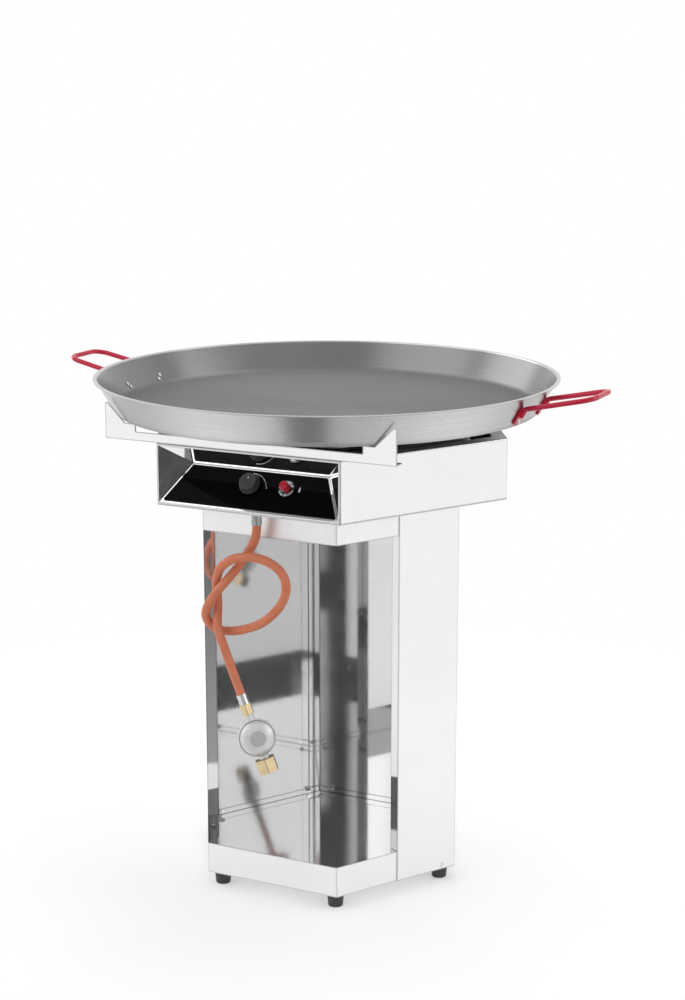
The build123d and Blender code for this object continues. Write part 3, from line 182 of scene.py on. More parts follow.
class StageSettings(bpy.types.PropertyGroup):
    """Camera, lamps, floor and the cloths that only mirrors see."""

    azimuth: degrees("Azimuth", "Camera's turn round the part, from its front", 26.126)
    elevation: degrees("Elevation", "Camera's height above the horizon", 12.929)
    distance: metres("Distance", "From the camera to the point that it looks at", 3.46995)
    lens: FloatProperty(name="Lens", description="Focal length", default=71.59, unit="CAMERA")
    aim_side: metres("Aim to the side", "Point aimed at, right of the part's middle", 0.02675)
    aim_height: metres("Aim height", "Height of the point aimed at", 0.660)
    fill: number("Fill", "Light from all round on matt surfaces", 0.50)
    key: watts("Key lamp", "Power of the soft lamp at the front left", 54.0)
    side: watts("Side lamp", "Power of the soft lamp at the right", 30.0)
    left: watts("Left lamp", "Power of the soft lamp at the left", 24.0)
    top: watts("Top lamp", "Power of the soft lamp overhead", 42.0)
    floor_reach: metres("Floor", "From the middle to the floor's edge", 40.0)
    floor_colour: rgb("Floor colour", "Colour of the paper floor", 0.80, 0.80, 0.80)
    floor_glow: number("Floor glow", "White that the floor shows besides its light", 0.34)
    floor_near: metres("Shadow reach", "Within this the floor shows its shadow in full", 0.55)
    floor_far: metres("White from", "Beyond this the floor is plain white", 1.5)
    flag_distance: metres("Flag distance", "From the middle to the grey cloth in front", 5.2)
    flag_left: metres("Flag left", "How far the front cloth reaches to the left", 6.5)
    flag_right: metres("Flag right", "How far the front cloth reaches to the right", 4.0)
    flag_foot: metres("Flag foot", "Height of the front cloth's lower edge", 0.1)
    flag_top: metres("Flag top", "Height of the front cloth's upper edge", 6.0)
    flag_low: number("Grey low", "Brightness of the grey cloths at the front one's foot", 0.42)
    flag_high: number("Grey high", "Brightness of the grey cloths at the front one's top", 0.70)
    ceiling: metres("Ceiling", "Height of the grey cloth overhead", 5.5)
    ceiling_reach: metres("Ceiling reach", "From the middle to the edge of the cloth overhead", 7.0)
    mat_near: metres("Mats begin", "From the middle to where the mats begin to darken", 0.49)
    mat_far: metres("Mats darkest", "From the middle to where the mats are at their darkest", 2.5)
    mat_pale: number("Mat pale", "Brightness of the mats where they begin", 0.34)
    mat_dark: number("Mat dark", "Brightness of the mats at their darkest", 0.065)


class HoseSettings(bpy.types.PropertyGroup):
    """Gas hose."""

    diameter: metres("Diameter", "Outside diameter of the hose", 0.015)
    length: metres("Length", "Length from the upper to the lower ferrule", 0.808)
    colour: rgb("Colour", "Rubber of the hose", 0.690, 0.195, 0.092)
    bloom: rgb("Bloom", "Paler rubber where the hose has bloomed", 0.740, 0.250, 0.132)


class SheetSettings(bpy.types.PropertyGroup):
    """Polished sheet and the pan."""

    polished: rgb("Polished steel", "Bright stainless sheet", 0.92, 0.92, 0.925)
    # The inner colour is partly a duller side of the sheet and partly painted shade inside the stand.
    inner: rgb("Inner steel", "Duller inner side of the sheet", 0.745, 0.745, 0.75)
    mirror: number("Mirror", "How far the sheet looks like bare metal", 0.87)
    recess_mirror: number("Recess mirror", "The same for the recess round the controls", 0.985)
    # The dull line along folds and cut edges is painted shade.
    fold_shade_width: metres("Fold line", "Width of the dull line along folds and cut edges", 0.0030)
    ripple: metres("Ripple", "Depth of the sheet's slow waves", 0.0004)
    pan: rgb("Pan steel", "Ground carbon steel of the pan", 0.41, 0.408, 0.404)
    # The bright sectors round the pan are painted sheen: highlights laid into the steel's colour by the
    # turn round the pan's axis.
    painted_sheen_count: number("Sheen count", "Bright sectors that the grinding leaves round the pan", 6.0)
    painted_sheen_turn: degrees("Sheen turn", "Turn of a bright sector from the right towards the front", 32)
    painted_sheen_gain: number("Sheen gain", "How much brighter bright sectors are than dark ones", 1.60)
    pan_dark: rgb("Pan scratches", "Darker marks of the grinding", 0.34, 0.338, 0.334)
    # The pan's darker inside is painted shade on the faces that look up.
    pan_inside_shade: rgb("Pan inside", "Darker ground steel inside the pan", 0.222, 0.221, 0.219)
    # The bright rim is a painted highlight along the pan's top edge.
    pan_rim_highlight: rgb("Pan rim", "Bright rolled rim of the pan", 0.52, 0.518, 0.515)
    rim_highlight_height: metres("Rim height", "Height of the pan's bright rim", 0.0026)
    dull_gain: number("Dull gain", "Roughness that the pan's dull base has over its wall", 0.4)
    dull_foot: metres("Dull foot", "Height up to which the pan's base is at its dullest", 0.002)
    pan_dull: metres("Dull base", "Height up to which the pan's base is left dull", 0.010)
    enamel: rgb("Handles", "Red enamel of the handles", 0.600, 0.004, 0.045)


class PanelSettings(bpy.types.PropertyGroup):
    """Control panel, knob and igniter."""

    black: rgb("Panel", "Gloss black of the panel", 0.0025, 0.0025, 0.003)
    knob: rgb("Knob", "Dark plastic of the knob", 0.040, 0.040, 0.041)
    red: rgb("Igniter", "Red of the igniter button", 0.62, 0.006, 0.030)
    mark: rgb("Marks", "White of the printed marks", 0.86, 0.86, 0.85)
    mark_height: metres("Mark height", "Thickness of the printed marks", 0.00012)
    dot_offset: metres("Dot offset", "From the knob's middle to its white dot", 0.0062)
    dot_radius: metres("Dot radius", "Radius of the knob's white dot", 0.0013)
    dot_sunk: metres("Dot sunk", "Depth of the white dot in the knob", 0.0004)
    dot_proud: metres("Dot proud", "Height of the white dot over the knob's face", 0.00015)
    arc_start: metres("Arc start", "Radius of the wide end of the flame arc", 0.0214)
    arc_end: metres("Arc end", "Radius of the narrow end of the flame arc", 0.0278)
    arc_bend: number("Arc bend", "How late the flame arc leaves the radius of its wide end", 2.2)
    arc_wide: metres("Arc wide", "Width of the flame arc's wide end", 0.0017)
    arc_narrow: metres("Arc narrow", "Width of the flame arc's narrow end", 0.0005)
    arc_from: degrees("Arc from", "Turn of the arc's wide end from the right", 97)
    arc_to: degrees("Arc to", "Turn of the arc's narrow end from the right", 0.6)
    spot_gap: metres("Spot gap", "From the arc's narrow end out to the spot beside it", 0.0012)
    spot_turn: degrees("Spot turn", "Turn of the spot beside the arc from the right", -3)
    spot_radius: metres("Spot radius", "Radius of the spot beside the arc", 0.0011)
    flame_side: metres("Flame side", "From the knob's middle to the flame, to the right", 0.0885)
    flame_rise: metres("Flame rise", "From the knob's middle to the flame, up the slope", 0.0012)


class BurnerSettings(bpy.types.PropertyGroup):
    """Ring burners."""

    port_radius: metres("Port radius", "Radius of a flame port", 0.0008)
    port_height: metres("Port height", "Thickness of a flame port's disc", 0.0003)
    port_spacing: metres("Port spacing", "From one flame port to the next", 0.016)
    port_tilt: degrees("Port tilt", "Turn of the flame ports from straight up", 64)
    port_inset: metres("Port inset", "From a ring's end to its first flame port", 0.010)
    ring_radius: metres("Ring tube", "Outside radius of the ring tubes", 0.009)
    ring_corner: metres("Ring corner", "Radius of the ring tubes' bends", 0.035)
    bar_half: metres("Manifold", "Half the width of the manifold between a ring's ends", 0.009)
    bead: metres("Weld bead", "Radius of a weld bead", 0.0013)
    bead_lift: metres("Bead lift", "From the manifold's side to a bead's middle", 0.0006)


class FastenerSettings(bpy.types.PropertyGroup):
    """Screws and rivets."""

    recess_span: metres("Recess span", "Length of a cross recess's arm, tip to tip", 0.0046)
    recess_width: metres("Recess width", "Width of a cross recess's arm", 0.0011)
    pin_radius: metres("Rivet pin", "Radius of the broken pin in a rivet", 0.0011)
    mark_height: metres("Mark height", "How far recesses and pins stand on their heads", 0.0002)


GROUPS = {
    "grill_stage": StageSettings,
    "grill_hose": HoseSettings,
    "grill_sheet": SheetSettings,
    "grill_panel": PanelSettings,
    "grill_burner": BurnerSettings,
    "grill_fasteners": FastenerSettings,
}


class Nodes:
    """A tree of nodes, with short ways to add to it."""

    def __init__(self, tree):
        self.tree = tree

    def feed(self, socket, value):
        """Sets an input, or links it where the value is another node's output."""
        if isinstance(value, bpy.types.NodeSocket):
            self.tree.links.new(value, socket)
        else:
            socket.default_value = value

    def add(self, kind, inputs=None, out=0, **settings):
        """An output of a new node, with the node's own settings and what feeds its inputs."""
        made = self.tree.nodes.new(kind)
        for name, value in settings.items():
            setattr(made, name, value)
        for socket, value in (inputs or {}).items():
            self.feed(made.inputs[socket], value)
        return made.outputs[out]

    def maths(self, operation, *values):
        return self.add("ShaderNodeMath", dict(enumerate(values)), operation=operation)

    def vectors(self, operation, *values, out="Vector"):
        return self.add("ShaderNodeVectorMath", dict(enumerate(values)), out, operation=operation)

    def seen_directly(self):
        """One for what the camera, a mirror or a glass shows, and none for other light."""
        rays = self.add("ShaderNodeLightPath").node.outputs
        mirrored = self.maths("MAXIMUM", rays["Is Camera Ray"], rays["Is Glossy Ray"])
        return self.maths("MAXIMUM", mirrored, rays["Is Transmission Ray"])


class Finish(Nodes):
    """One principled material and the nodes that vary it over the surface."""

    def __init__(self, name, colour, roughness, metallic=0.0, **sockets):
        self.material = bpy.data.materials.new(name)
        self.material.use_nodes = True
        super().__init__(self.material.node_tree)
        self.shader = self.tree.nodes["Principled BSDF"]
        self.colour = tuple(colour)[:3]
        self.normal = None
        self.set(Base_Color=(*self.colour, 1.0), Roughness=roughness, Metallic=metallic, **sockets)

    def set(self, **sockets):
        """Sets or links the shader's inputs by name, with underscores for spaces."""
        for name, value in sockets.items():
            self.feed(self.shader.inputs[name.replace("_", " ")], value)

    def glow(self, strength):
        """Lets the surface shine white."""
        self.set(Emission_Color=WHITE, Emission_Strength=strength)

    def points(self, stretch=(1, 1, 1), centre=(0, 0, 0)):
        """Object coordinates from a centre, stretched along the axes."""
        moved = self.vectors("SUBTRACT", self.add("ShaderNodeTexCoord", out="Object"), centre)
        return self.add("ShaderNodeMapping", {"Vector": moved, "Scale": stretch})

    def facing(self):
        """The way that the surface faces."""
        return self.add("ShaderNodeNewGeometry", out="Normal")

    def rise(self, vector):
        """A vector's part along Z."""
        return self.add("ShaderNodeSeparateXYZ", {"Vector": vector}, "Z")

    def away(self):
        """The distance from the part's middle on the floor."""
        return self.vectors("LENGTH", self.points(), out="Value")

    def round_axis(self, centre):
        """The radius, the turn and the height round a vertical axis."""
        across, along, height = self.add(
            "ShaderNodeSeparateXYZ", {"Vector": self.points(centre=centre)}).node.outputs
        squares = [self.maths("MULTIPLY", side, side) for side in (across, along)]
        return self.maths("SQRT", self.maths("ADD", *squares)), self.maths("ARCTAN2", along, across), height

    def polar(self, centre, radial, around):
        """Coordinates that run with the radius and the turn round a vertical axis, each with its scale."""
        scaled = [self.maths("MULTIPLY", value, scale) for value, scale in zip(
            self.round_axis(centre), (radial, around, radial))]
        return self.add("ShaderNodeCombineXYZ", dict(enumerate(scaled)))

    def noise(self, scale, detail, stretch=(1, 1, 1), vector=None):
        """Noise over the surface; the scale is in features to the metre."""
        vector = vector or self.points(stretch)
        return self.add("ShaderNodeTexNoise", {"Vector": vector, "Scale": scale, "Detail": detail}, "Fac")

    def spread(self, factor, low, high, start=0.3, stop=0.7):
        """A factor's middle range, spread between two values."""
        return self.add("ShaderNodeMapRange", {
            "Value": factor, "From Min": start, "From Max": stop, "To Min": low, "To Max": high}, "Result")

    def tint(self, factor, other, start=0.3, stop=0.7, most=1.0):
        """Shades the base colour, or what it was shaded to before, towards another one by a factor."""
        base = self.shader.inputs["Base Color"]
        before = base.links[0].from_socket if base.links else (*self.colour, 1.0)
        shaded = self.add("ShaderNodeMix", {
            "Factor": self.spread(factor, 0.0, most, start, stop), MIX_FIRST: before,
            MIX_SECOND: (*tuple(other)[:3], 1.0)}, MIX_RESULT, data_type="RGBA")
        self.set(Base_Color=shaded)

    def roughen(self, factor, low, high):
        self.set(Roughness=self.spread(factor, low, high))

    def emboss(self, factor, depth, strength):
        """Raises the surface by a factor times a depth, over what was raised before."""
        inputs = {"Height": factor, "Strength": strength, "Distance": depth}
        if self.normal:
            inputs["Normal"] = self.normal
        self.normal = self.add("ShaderNodeBump", inputs)
        self.set(Normal=self.normal)

    def shade_fold_lines(self, width, factor):
        """Paints shade in a narrow line along folds and cut edges."""
        soft = self.add("ShaderNodeBevel", {"Radius": width}, samples=EDGE_SAMPLES)
        along = self.vectors("DOT_PRODUCT", soft, self.facing(), out="Value")
        edge = self.spread(along, 1.0, 0.0, *EDGE_RANGE)
        self.tint(edge, shade(self.colour, factor), 0.0, 1.0)

    def inward(self, upward):
        """Above zero on faces that look towards the part's middle, and by so much on those that look up."""
        facing = self.facing()
        outward = self.vectors("DOT_PRODUCT", self.points(stretch=(1, 1, 0)), facing, out="Value")
        return self.maths("SUBTRACT", self.maths("MULTIPLY", self.rise(facing), upward), outward)

    def brush_round(self):
        """Lays the highlight round a vertical axis, as a lathe or a round grinding does."""
        self.set(Tangent=self.add("ShaderNodeTangent", direction_type="RADIAL", axis="Z"))

    def dress(self, *nodes):
        """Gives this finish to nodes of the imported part."""
        for name in nodes:
            materials = frame["nodes"][name].data.materials
            materials.clear()
            materials.append(self.material)


def shade(colour, factor):
    """A colour made lighter or darker."""
    return tuple(value * factor for value in tuple(colour)[:3])


def mottled(name, colour, other, roughness, metallic=0.0, patches=(), gloss=(), relief=(), **sockets):
    """A finish with patches of another colour, and with uneven gloss and a fine relief where given.

    Each of the three starts with the scale and the detail of its noise. Then come the range of noise
    that shades the patches, if not the usual one; the least and the most roughness; and the relief's
    depth, its strength and a stretch of its noise.
    """
    made = Finish(name, colour, roughness, metallic, **sockets)
    scale, detail, *limits = patches
    made.tint(made.noise(scale, detail), other, *limits)
    if gloss:
        scale, detail, low, high = gloss
        made.roughen(made.noise(scale, detail), low, high)
    if relief:
        scale, detail, depth, strength, *stretch = relief
        made.emboss(made.noise(scale, detail, *stretch), depth, strength)
    return made


def place(name, data):
    """A new object of the scene."""
    made = bpy.data.objects.new(name, data)
    bpy.context.scene.collection.objects.link(made)
    return made


def piece(name, mesh, body, finish):
    """Makes a finished mesh a piece of the part that rides on a body."""
    made = place(name, mesh)
    mesh.materials.clear()
    mesh.materials.append(finish.material)
    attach(made, body)


def sheet(name, corners, finish, mirrors_only=False):
    """A flat sheet of the stage between four corners."""
    mesh = bpy.data.meshes.new(name)
    mesh.from_pydata([tuple(corner) for corner in corners], [], [(0, 1, 2, 3)])
    mesh.materials.append(finish.material)
    made = place(name, mesh)
    if mirrors_only:
        made.visible_camera = False
        made.visible_diffuse = False
        made.visible_shadow = False


def heading(turn):
    """The level direction at a turn from the part's front towards its right."""
    return Vector((math.sin(turn), -math.cos(turn), 0))


def mesh_from(name, work, smooth=False):
    """A plain mesh from a bmesh with its doubles merged and its faces turned outwards."""
    bmesh.ops.remove_doubles(work, verts=work.verts, dist=MERGE)
    bmesh.ops.recalc_face_normals(work, faces=work.faces)
    for face in work.faces:
        face.smooth = smooth
    mesh = bpy.data.meshes.new(name)
    work.to_mesh(mesh)
    work.free()
    return mesh


def skin(work, pairs, sides):
    """Adds faces between neighbouring rows of points, on so many sides of the rows."""
    for here, there in pairs:
        for part in range(sides):
            after = (part + 1) % len(here)
            work.faces.new((here[part], here[after], there[after], there[part]))


def looped(rows):
    """Each row with the next one, and the last with the first."""
    return zip(rows, rows[1:] + rows[:1])


def blend(first, last, share):
    """A value between two others."""
    return first + (last - first) * share


def on_panel(right, up, origin=KNOB_CENTRE):
    """A point by its way to the right and up the panel's slope."""
    return origin + RIGHT * right + PANEL_UP * up


def turned(radius, turn):
    """The ways to the right and up the slope of a point round an origin."""
    return math.cos(turn) * radius, math.sin(turn) * radius


def disc(origin, radius):
    """A round outline on the panel's slope."""
    turns = [math.tau * step / DISC_SIDES for step in range(DISC_SIDES)]
    return [on_panel(*turned(radius, turn), origin) for turn in turns]


def panel_height(node):
    """How far a node stands out along the control axis."""
    return max((vertex.co - KNOB_CENTRE).dot(PANEL_OUT) for vertex in frame["nodes"][node].data.vertices)


def prism(work, outline, low, high):
    """Adds a plate across the control axis, from its outline and the heights of its two faces."""
    bottom, top = ([work.verts.new(point + PANEL_OUT * height) for point in outline]
                   for height in (low, high))
    work.faces.new(top)
    work.faces.new(bottom[::-1])
    skin(work, [(bottom, top)], len(outline))


def solids_of(node):
    """The boxes of a node's separate solids, as lowest and highest corners."""
    work = bmesh.new()
    work.from_mesh(frame["nodes"][node].data)
    bmesh.ops.remove_doubles(work, verts=work.verts, dist=MERGE_WIDE)
    left = set(work.verts)
    boxes = []
    while left:
        waiting = [left.pop()]
        found = list(waiting)
        while waiting:
            vertex = waiting.pop()
            for edge in vertex.link_edges:
                other = edge.other_vert(vertex)
                if other in left:
                    left.discard(other)
                    waiting.append(other)
                    found.append(other)
        boxes.append([Vector(end(vertex.co[axis] for vertex in found) for axis in range(3))
                      for end in (min, max)])
    work.free()
    return sorted(boxes, key=lambda box: tuple(round(value, ORDER_DIGITS) for value in box[0]))


class Tree(Nodes):
    """A geometry tree that grows marks from a base mesh, with a named input for each of its sizes."""

    def __init__(self, name, *sizes):
        super().__init__(bpy.data.node_groups.new(name, "GeometryNodeTree"))
        self.socket("Geometry", "Geometry")
        for size in sizes:
            self.socket(size, "Float")
        self.socket("Material", "Material")
        self.socket("Geometry", "Geometry", "OUTPUT")
        self.given = self.tree.nodes.new("NodeGroupInput").outputs

    def socket(self, name, kind, way="INPUT"):
        self.tree.interface.new_socket(name, in_out=way, socket_type="NodeSocket" + kind)

    def end(self, source):
        """Realizes the instances, sets their material and ends the tree."""
        real = self.add("GeometryNodeRealizeInstances", {"Geometry": source})
        dressed = self.add(
            "GeometryNodeSetMaterial", {"Geometry": real, "Material": self.given["Material"]})
        self.feed(self.tree.nodes.new("NodeGroupOutput").inputs[0], dressed)
        return self

    def grow(self, name, base, finish, sizes):
        """The plain mesh that the tree makes from a base mesh with the given sizes."""
        values = {**sizes, "Material": finish.material}
        carrier = place(name + "_base", base)
        modifier = carrier.modifiers.new("grow", "NODES")
        modifier.node_group = self.tree
        for item in self.tree.interface.items_tree:
            if item.in_out == "INPUT" and item.name in values:
                modifier[item.identifier] = values[item.name]
        graph = bpy.context.evaluated_depsgraph_get()
        mesh = bpy.data.meshes.new_from_object(carrier.evaluated_get(graph))
        mesh.name = name
        carrier.modifiers.remove(modifier)
        bpy.data.objects.remove(carrier)
        if not mesh.polygons:
            raise RuntimeError(f"{name} came out empty")
        return mesh


def port_tree():
    """Small round ports along a path, on the outside of a tube that follows it."""
    tree = Tree(
        "flame_ports", "Tube radius", "Corner radius", "Spacing", "Tilt", "Port radius", "Port height")
    given = tree.given
    path = tree.add("GeometryNodeMeshToCurve", {"Mesh": given["Geometry"]})
    bent = tree.add("GeometryNodeFilletCurve", {
        "Curve": path, "Count": CORNER_STEPS, "Radius": given["Corner radius"]}, mode="POLY")
    steps = tree.add(
        "GeometryNodeResampleCurve", {"Curve": bent, "Length": given["Spacing"]}, mode="LENGTH")
    aside = tree.vectors("CROSS_PRODUCT", tree.add("GeometryNodeInputTangent"), UP)
    sideways = tree.add("ShaderNodeVectorMath", {
        0: aside, "Scale": tree.maths("SINE", given["Tilt"])}, operation="SCALE")
    upward = tree.add("ShaderNodeCombineXYZ", {"Z": tree.maths("COSINE", given["Tilt"])})
    outward = tree.vectors("ADD", sideways, upward)
    reach = tree.add(
        "ShaderNodeVectorMath", {0: outward, "Scale": given["Tube radius"]}, operation="SCALE")
    rotation = tree.add("FunctionNodeAlignRotationToVector", {"Vector": outward}, axis="Z")
    port = tree.add("GeometryNodeMeshCylinder", {
        "Vertices": PORT_SIDES, "Radius": given["Port radius"], "Depth": given["Port height"]})
    ports = tree.add("GeometryNodeInstanceOnPoints", {
        "Points": steps, "Instance": port, "Rotation": rotation})
    return tree.end(tree.add("GeometryNodeTranslateInstances", {
        "Instances": ports, "Translation": reach, "Local Space": False}))


def recess_tree():
    """Cross recesses on the tops of screws."""
    tree = Tree("cross_recesses", "Span", "Width", "Height")
    cross = tree.add("GeometryNodeJoinGeometry")
    for long, short in ("XY", "YX"):
        size = tree.add("ShaderNodeCombineXYZ", {
            long: tree.given["Span"], short: tree.given["Width"], "Z": tree.given["Height"]})
        tree.feed(cross.node.inputs[0], tree.add("GeometryNodeMeshCube", {"Size": size}))
    return tree.end(tree.add("GeometryNodeInstanceOnPoints", {
        "Points": tree.given["Geometry"], "Instance": cross}))


def pin_tree():
    """The round ends of pins on the tops of rivets."""
    tree = Tree("rivet_pins", "Span", "Height")
    pin = tree.add("GeometryNodeMeshCylinder", {
        "Vertices": PIN_SIDES, "Radius": tree.given["Span"], "Depth": tree.given["Height"]})
    return tree.end(tree.add("GeometryNodeInstanceOnPoints", {
        "Points": tree.given["Geometry"], "Instance": pin}))


class GRILL_OT_stage(bpy.types.Operator):
    """Sets the camera, the soft lamps, the white surroundings, the pale floor and the cloths"""

    bl_idname = "grill.stage"
    bl_label = "Stage"

    def execute(self, context):
        settings = context.scene.grill_stage
        context.scene.view_settings.view_transform = "Standard"
        self.aim_camera(context, settings)
        self.hang_lamps(settings)
        self.paint_surroundings(context, settings)
        self.lay_floor(settings)
        self.hang_flags(settings)
        self.lay_mats(settings)
        return {"FINISHED"}

    def aim_camera(self, context, settings):
        lens = bpy.data.cameras.new("camera")
        lens.lens = settings.lens
        lens.sensor_width = 36.0
        lens.clip_end = 200.0
        camera = place("camera", lens)
        context.scene.camera = camera
        right = heading(settings.azimuth + math.pi / 2)
        rise = settings.elevation
        back = heading(settings.azimuth) * math.cos(rise) + UP * math.sin(rise)
        aim = right * settings.aim_side + UP * settings.aim_height
        camera.location = aim + back * settings.distance
        camera.rotation_euler = (-back).to_track_quat("-Z", "Y").to_euler()

    def hang_lamps(self, settings):
        for name, (spot, size) in LAMPS.items():
            lamp = bpy.data.lights.new(name, "AREA")
            lamp.energy = getattr(settings, name)
            lamp.size = size
            hung = place(name, lamp)
            hung.location = spot
            hung.rotation_euler = (LAMPS_AIM - Vector(spot)).to_track_quat("-Z", "Y").to_euler()

    def paint_surroundings(self, context, settings):
        """White for what is seen directly, and a softer light on matt surfaces."""
        world = bpy.data.worlds.new("white_surroundings")
        context.scene.world = world
        world.use_nodes = True
        sky = Nodes(world.node_tree)
        fill = sky.tree.nodes["Background"]
        sky.feed(fill.inputs["Color"], WHITE)
        sky.feed(fill.inputs["Strength"], settings.fill)
        shown = sky.add("ShaderNodeBackground", {"Color": WHITE, "Strength": 1.0})
        mixed = sky.add("ShaderNodeMixShader", {0: sky.seen_directly(), 1: fill.outputs[0], 2: shown})
        sky.feed(sky.tree.nodes["World Output"].inputs["Surface"], mixed)

    def lay_floor(self, settings):
        """Paper that shows the part's shadow near by and fades to white further off."""
        paper = Finish("floor_paper", settings.floor_colour, 0.9, Specular_IOR_Level=0.0)
        seen = paper.seen_directly()
        paper.glow(paper.maths("MULTIPLY", seen, settings.floor_glow))
        far = paper.spread(paper.away(), 0.0, 1.0, settings.floor_near, settings.floor_far)
        white = paper.add("ShaderNodeEmission", {"Color": WHITE, "Strength": 1.0})
        mixed = paper.add("ShaderNodeMixShader", {
            0: paper.maths("MULTIPLY", seen, far), 1: paper.shader.outputs[0], 2: white})
        paper.feed(paper.tree.nodes["Material Output"].inputs["Surface"], mixed)
        reach = settings.floor_reach
        sheet("floor", [(reach * x, reach * y, 0) for x, y in SQUARE], paper)

    def cloth(self, name):
        """Black cloth that shines by itself."""
        return Finish(name, (0.0, 0.0, 0.0), 0.95, Specular_IOR_Level=0.0)

    def hang_flags(self, settings):
        """Grey cloths in front and overhead, which only mirrors see: they shade the polished sheet."""
        grey = self.cloth("flag_cloth")
        grey.glow(grey.spread(
            grey.rise(grey.points()), settings.flag_low, settings.flag_high,
            settings.flag_foot, settings.flag_top))
        front = heading(settings.azimuth) * settings.flag_distance
        side = heading(settings.azimuth + math.pi / 2)
        left, right = front - side * settings.flag_left, front + side * settings.flag_right
        foot, top = UP * settings.flag_foot, UP * settings.flag_top
        sheet("front_flag", (left + foot, right + foot, right + top, left + top), grey, True)
        reach = settings.ceiling_reach
        sheet("ceiling_flag", [(reach * x, reach * y, settings.ceiling) for x, y in SQUARE], grey, True)

    def lay_mats(self, settings):
        """Mats on the floor at the front right, which only mirrors see: they darken with the distance."""
        dark = self.cloth("mat_cloth")
        dark.glow(dark.spread(
            dark.away(), settings.mat_pale, settings.mat_dark, settings.mat_near, settings.mat_far))
        for name, places in MATS.items():
            corners = [heading(math.radians(turn)) * reach + MAT_LIFT for turn, reach in places]
            sheet(name, corners, dark, True)


class GRILL_OT_hose(bpy.types.Operator):
    """Runs the orange gas hose from the burner to the regulator"""

    bl_idname = "grill.hose"
    bl_label = "Gas hose"

    def execute(self, context):
        settings = context.scene.grill_hose
        curve = bpy.data.curves.new("gas_hose", "CURVE")
        curve.dimensions = "3D"
        curve.bevel_depth = settings.diameter / 2
        curve.bevel_resolution = 8
        curve.resolution_u = 10
        curve.use_fill_caps = True
        spline = curve.splines.new("NURBS")
        spline.points.add(len(HOSE_ROUTE) - 1)
        for point, offset in zip(spline.points, HOSE_ROUTE):
            point.co = (*(HOSE_EXIT + Vector(offset) * MM), 1.0)
        spline.order_u = 3
        spline.use_endpoint_u = True
        spline.use_smooth = True
        hose = place("gas_hose", curve)
        rubber = mottled(
            "hose_rubber", settings.colour, settings.bloom, 0.48, patches=(38, 4, 0.35, 0.75),
            gloss=(140, 3, 0.40, 0.58), relief=(900, 2, 0.00012, 0.6), Specular_IOR_Level=0.4)
        curve.materials.append(rubber.material)
        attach(hose, "burner_unit")
        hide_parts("hose")
        return {"FINISHED"}


class GRILL_OT_sheet_metal(bpy.types.Operator):
    """Polishes the stand, the burner housing and the pan supports"""

    bl_idname = "grill.sheet_metal"
    bl_label = "Polished sheet"

    def execute(self, context):
        settings = context.scene.grill_sheet
        walls = self.polish(settings, "polished_walls", settings.mirror)
        walls.dress("rear_shell", "housing_wall", "support_front", "support_rear")
        rail = self.polish(settings, "brushed_rail", settings.mirror, gloss=(0.36, 0.44))
        rail.dress("top_rail")
        recess = self.polish(settings, "polished_recess", settings.recess_mirror)
        recess.dress("control_fascia")
        floors = self.polish(settings, "polished_floors", settings.mirror, upward=0.1)
        floors.dress("bottom_tray", "housing_floor")
        return {"FINISHED"}

    def polish(self, settings, name, mirror, upward=0.0, gloss=(0.035, 0.065)):
        """Sheet with a bright outer side, a darker inner one that is partly a duller side and partly
        painted shade, and painted shade along its folds.
        """
        steel = Finish(name, settings.polished, 0.07, mirror)
        # Faces that look inwards, and floors by their upward share, take the inner colour: partly a duller
        # side, partly painted shade.
        steel.tint(steel.inward(upward), settings.inner, -0.02, 0.02)
        steel.tint(steel.noise(14, 3), settings.inner, most=0.12)
        steel.roughen(steel.noise(55, 4), *gloss)
        # Painted shade along folds and cut edges.
        steel.shade_fold_lines(settings.fold_shade_width, 0.45)
        steel.emboss(steel.noise(3.2, 1), settings.ripple, 0.35)
        steel.emboss(steel.noise(1400, 1, (1, 1, 0.06)), 0.000001, 0.08)
        return steel


class GRILL_OT_control_panel(bpy.types.Operator):
    """Blackens the control panel and prints its plain marks"""

    bl_idname = "grill.control_panel"
    bl_label = "Control panel"

    def execute(self, context):
        settings = context.scene.grill_panel
        gloss = mottled(
            "panel_gloss", settings.black, shade(settings.black, 1.7), 0.05, patches=(260, 2, 0.4, 0.8),
            gloss=(70, 4, 0.03, 0.09), relief=(9, 1, 0.0001, 0.15), Specular_IOR_Level=0.03)
        gloss.dress("fascia_overlay")
        white = mottled("print_white", settings.mark, shade(settings.mark, 0.9), 0.45, patches=(900, 2))
        spot = on_panel(*turned(settings.arc_end + settings.spot_gap, settings.spot_turn))
        flame = on_panel(settings.flame_side, settings.flame_rise)
        surface = panel_height("fascia_overlay")
        low, high = surface - settings.mark_height * MARK_SUNK, surface + settings.mark_height
        work = bmesh.new()
        for outline in (self.arc(settings), disc(spot, settings.spot_radius), self.drop(flame)):
            prism(work, outline, low, high)
        piece("panel_marks", mesh_from("panel_marks", work), "burner_unit", white)
        return {"FINISHED"}

    def arc(self, settings):
        """The outline of the arc that narrows from the full flame to the small one."""
        outer, inner = [], []
        for step in range(ARC_STEPS + 1):
            share = step / ARC_STEPS
            radius = blend(settings.arc_start, settings.arc_end, share ** settings.arc_bend)
            half = blend(settings.arc_wide, settings.arc_narrow, share) / 2
            turn = blend(settings.arc_from, settings.arc_to, share)
            outer.append(on_panel(*turned(radius + half, turn)))
            inner.append(on_panel(*turned(radius - half, turn)))
        return outer + inner[::-1]

    def drop(self, middle):
        """The outline of a drop that stands for a flame."""
        right, left = ([on_panel(side * wide, up, middle) for wide, up in FLAME] for side in (1, -1))
        return right + left[-2:0:-1]


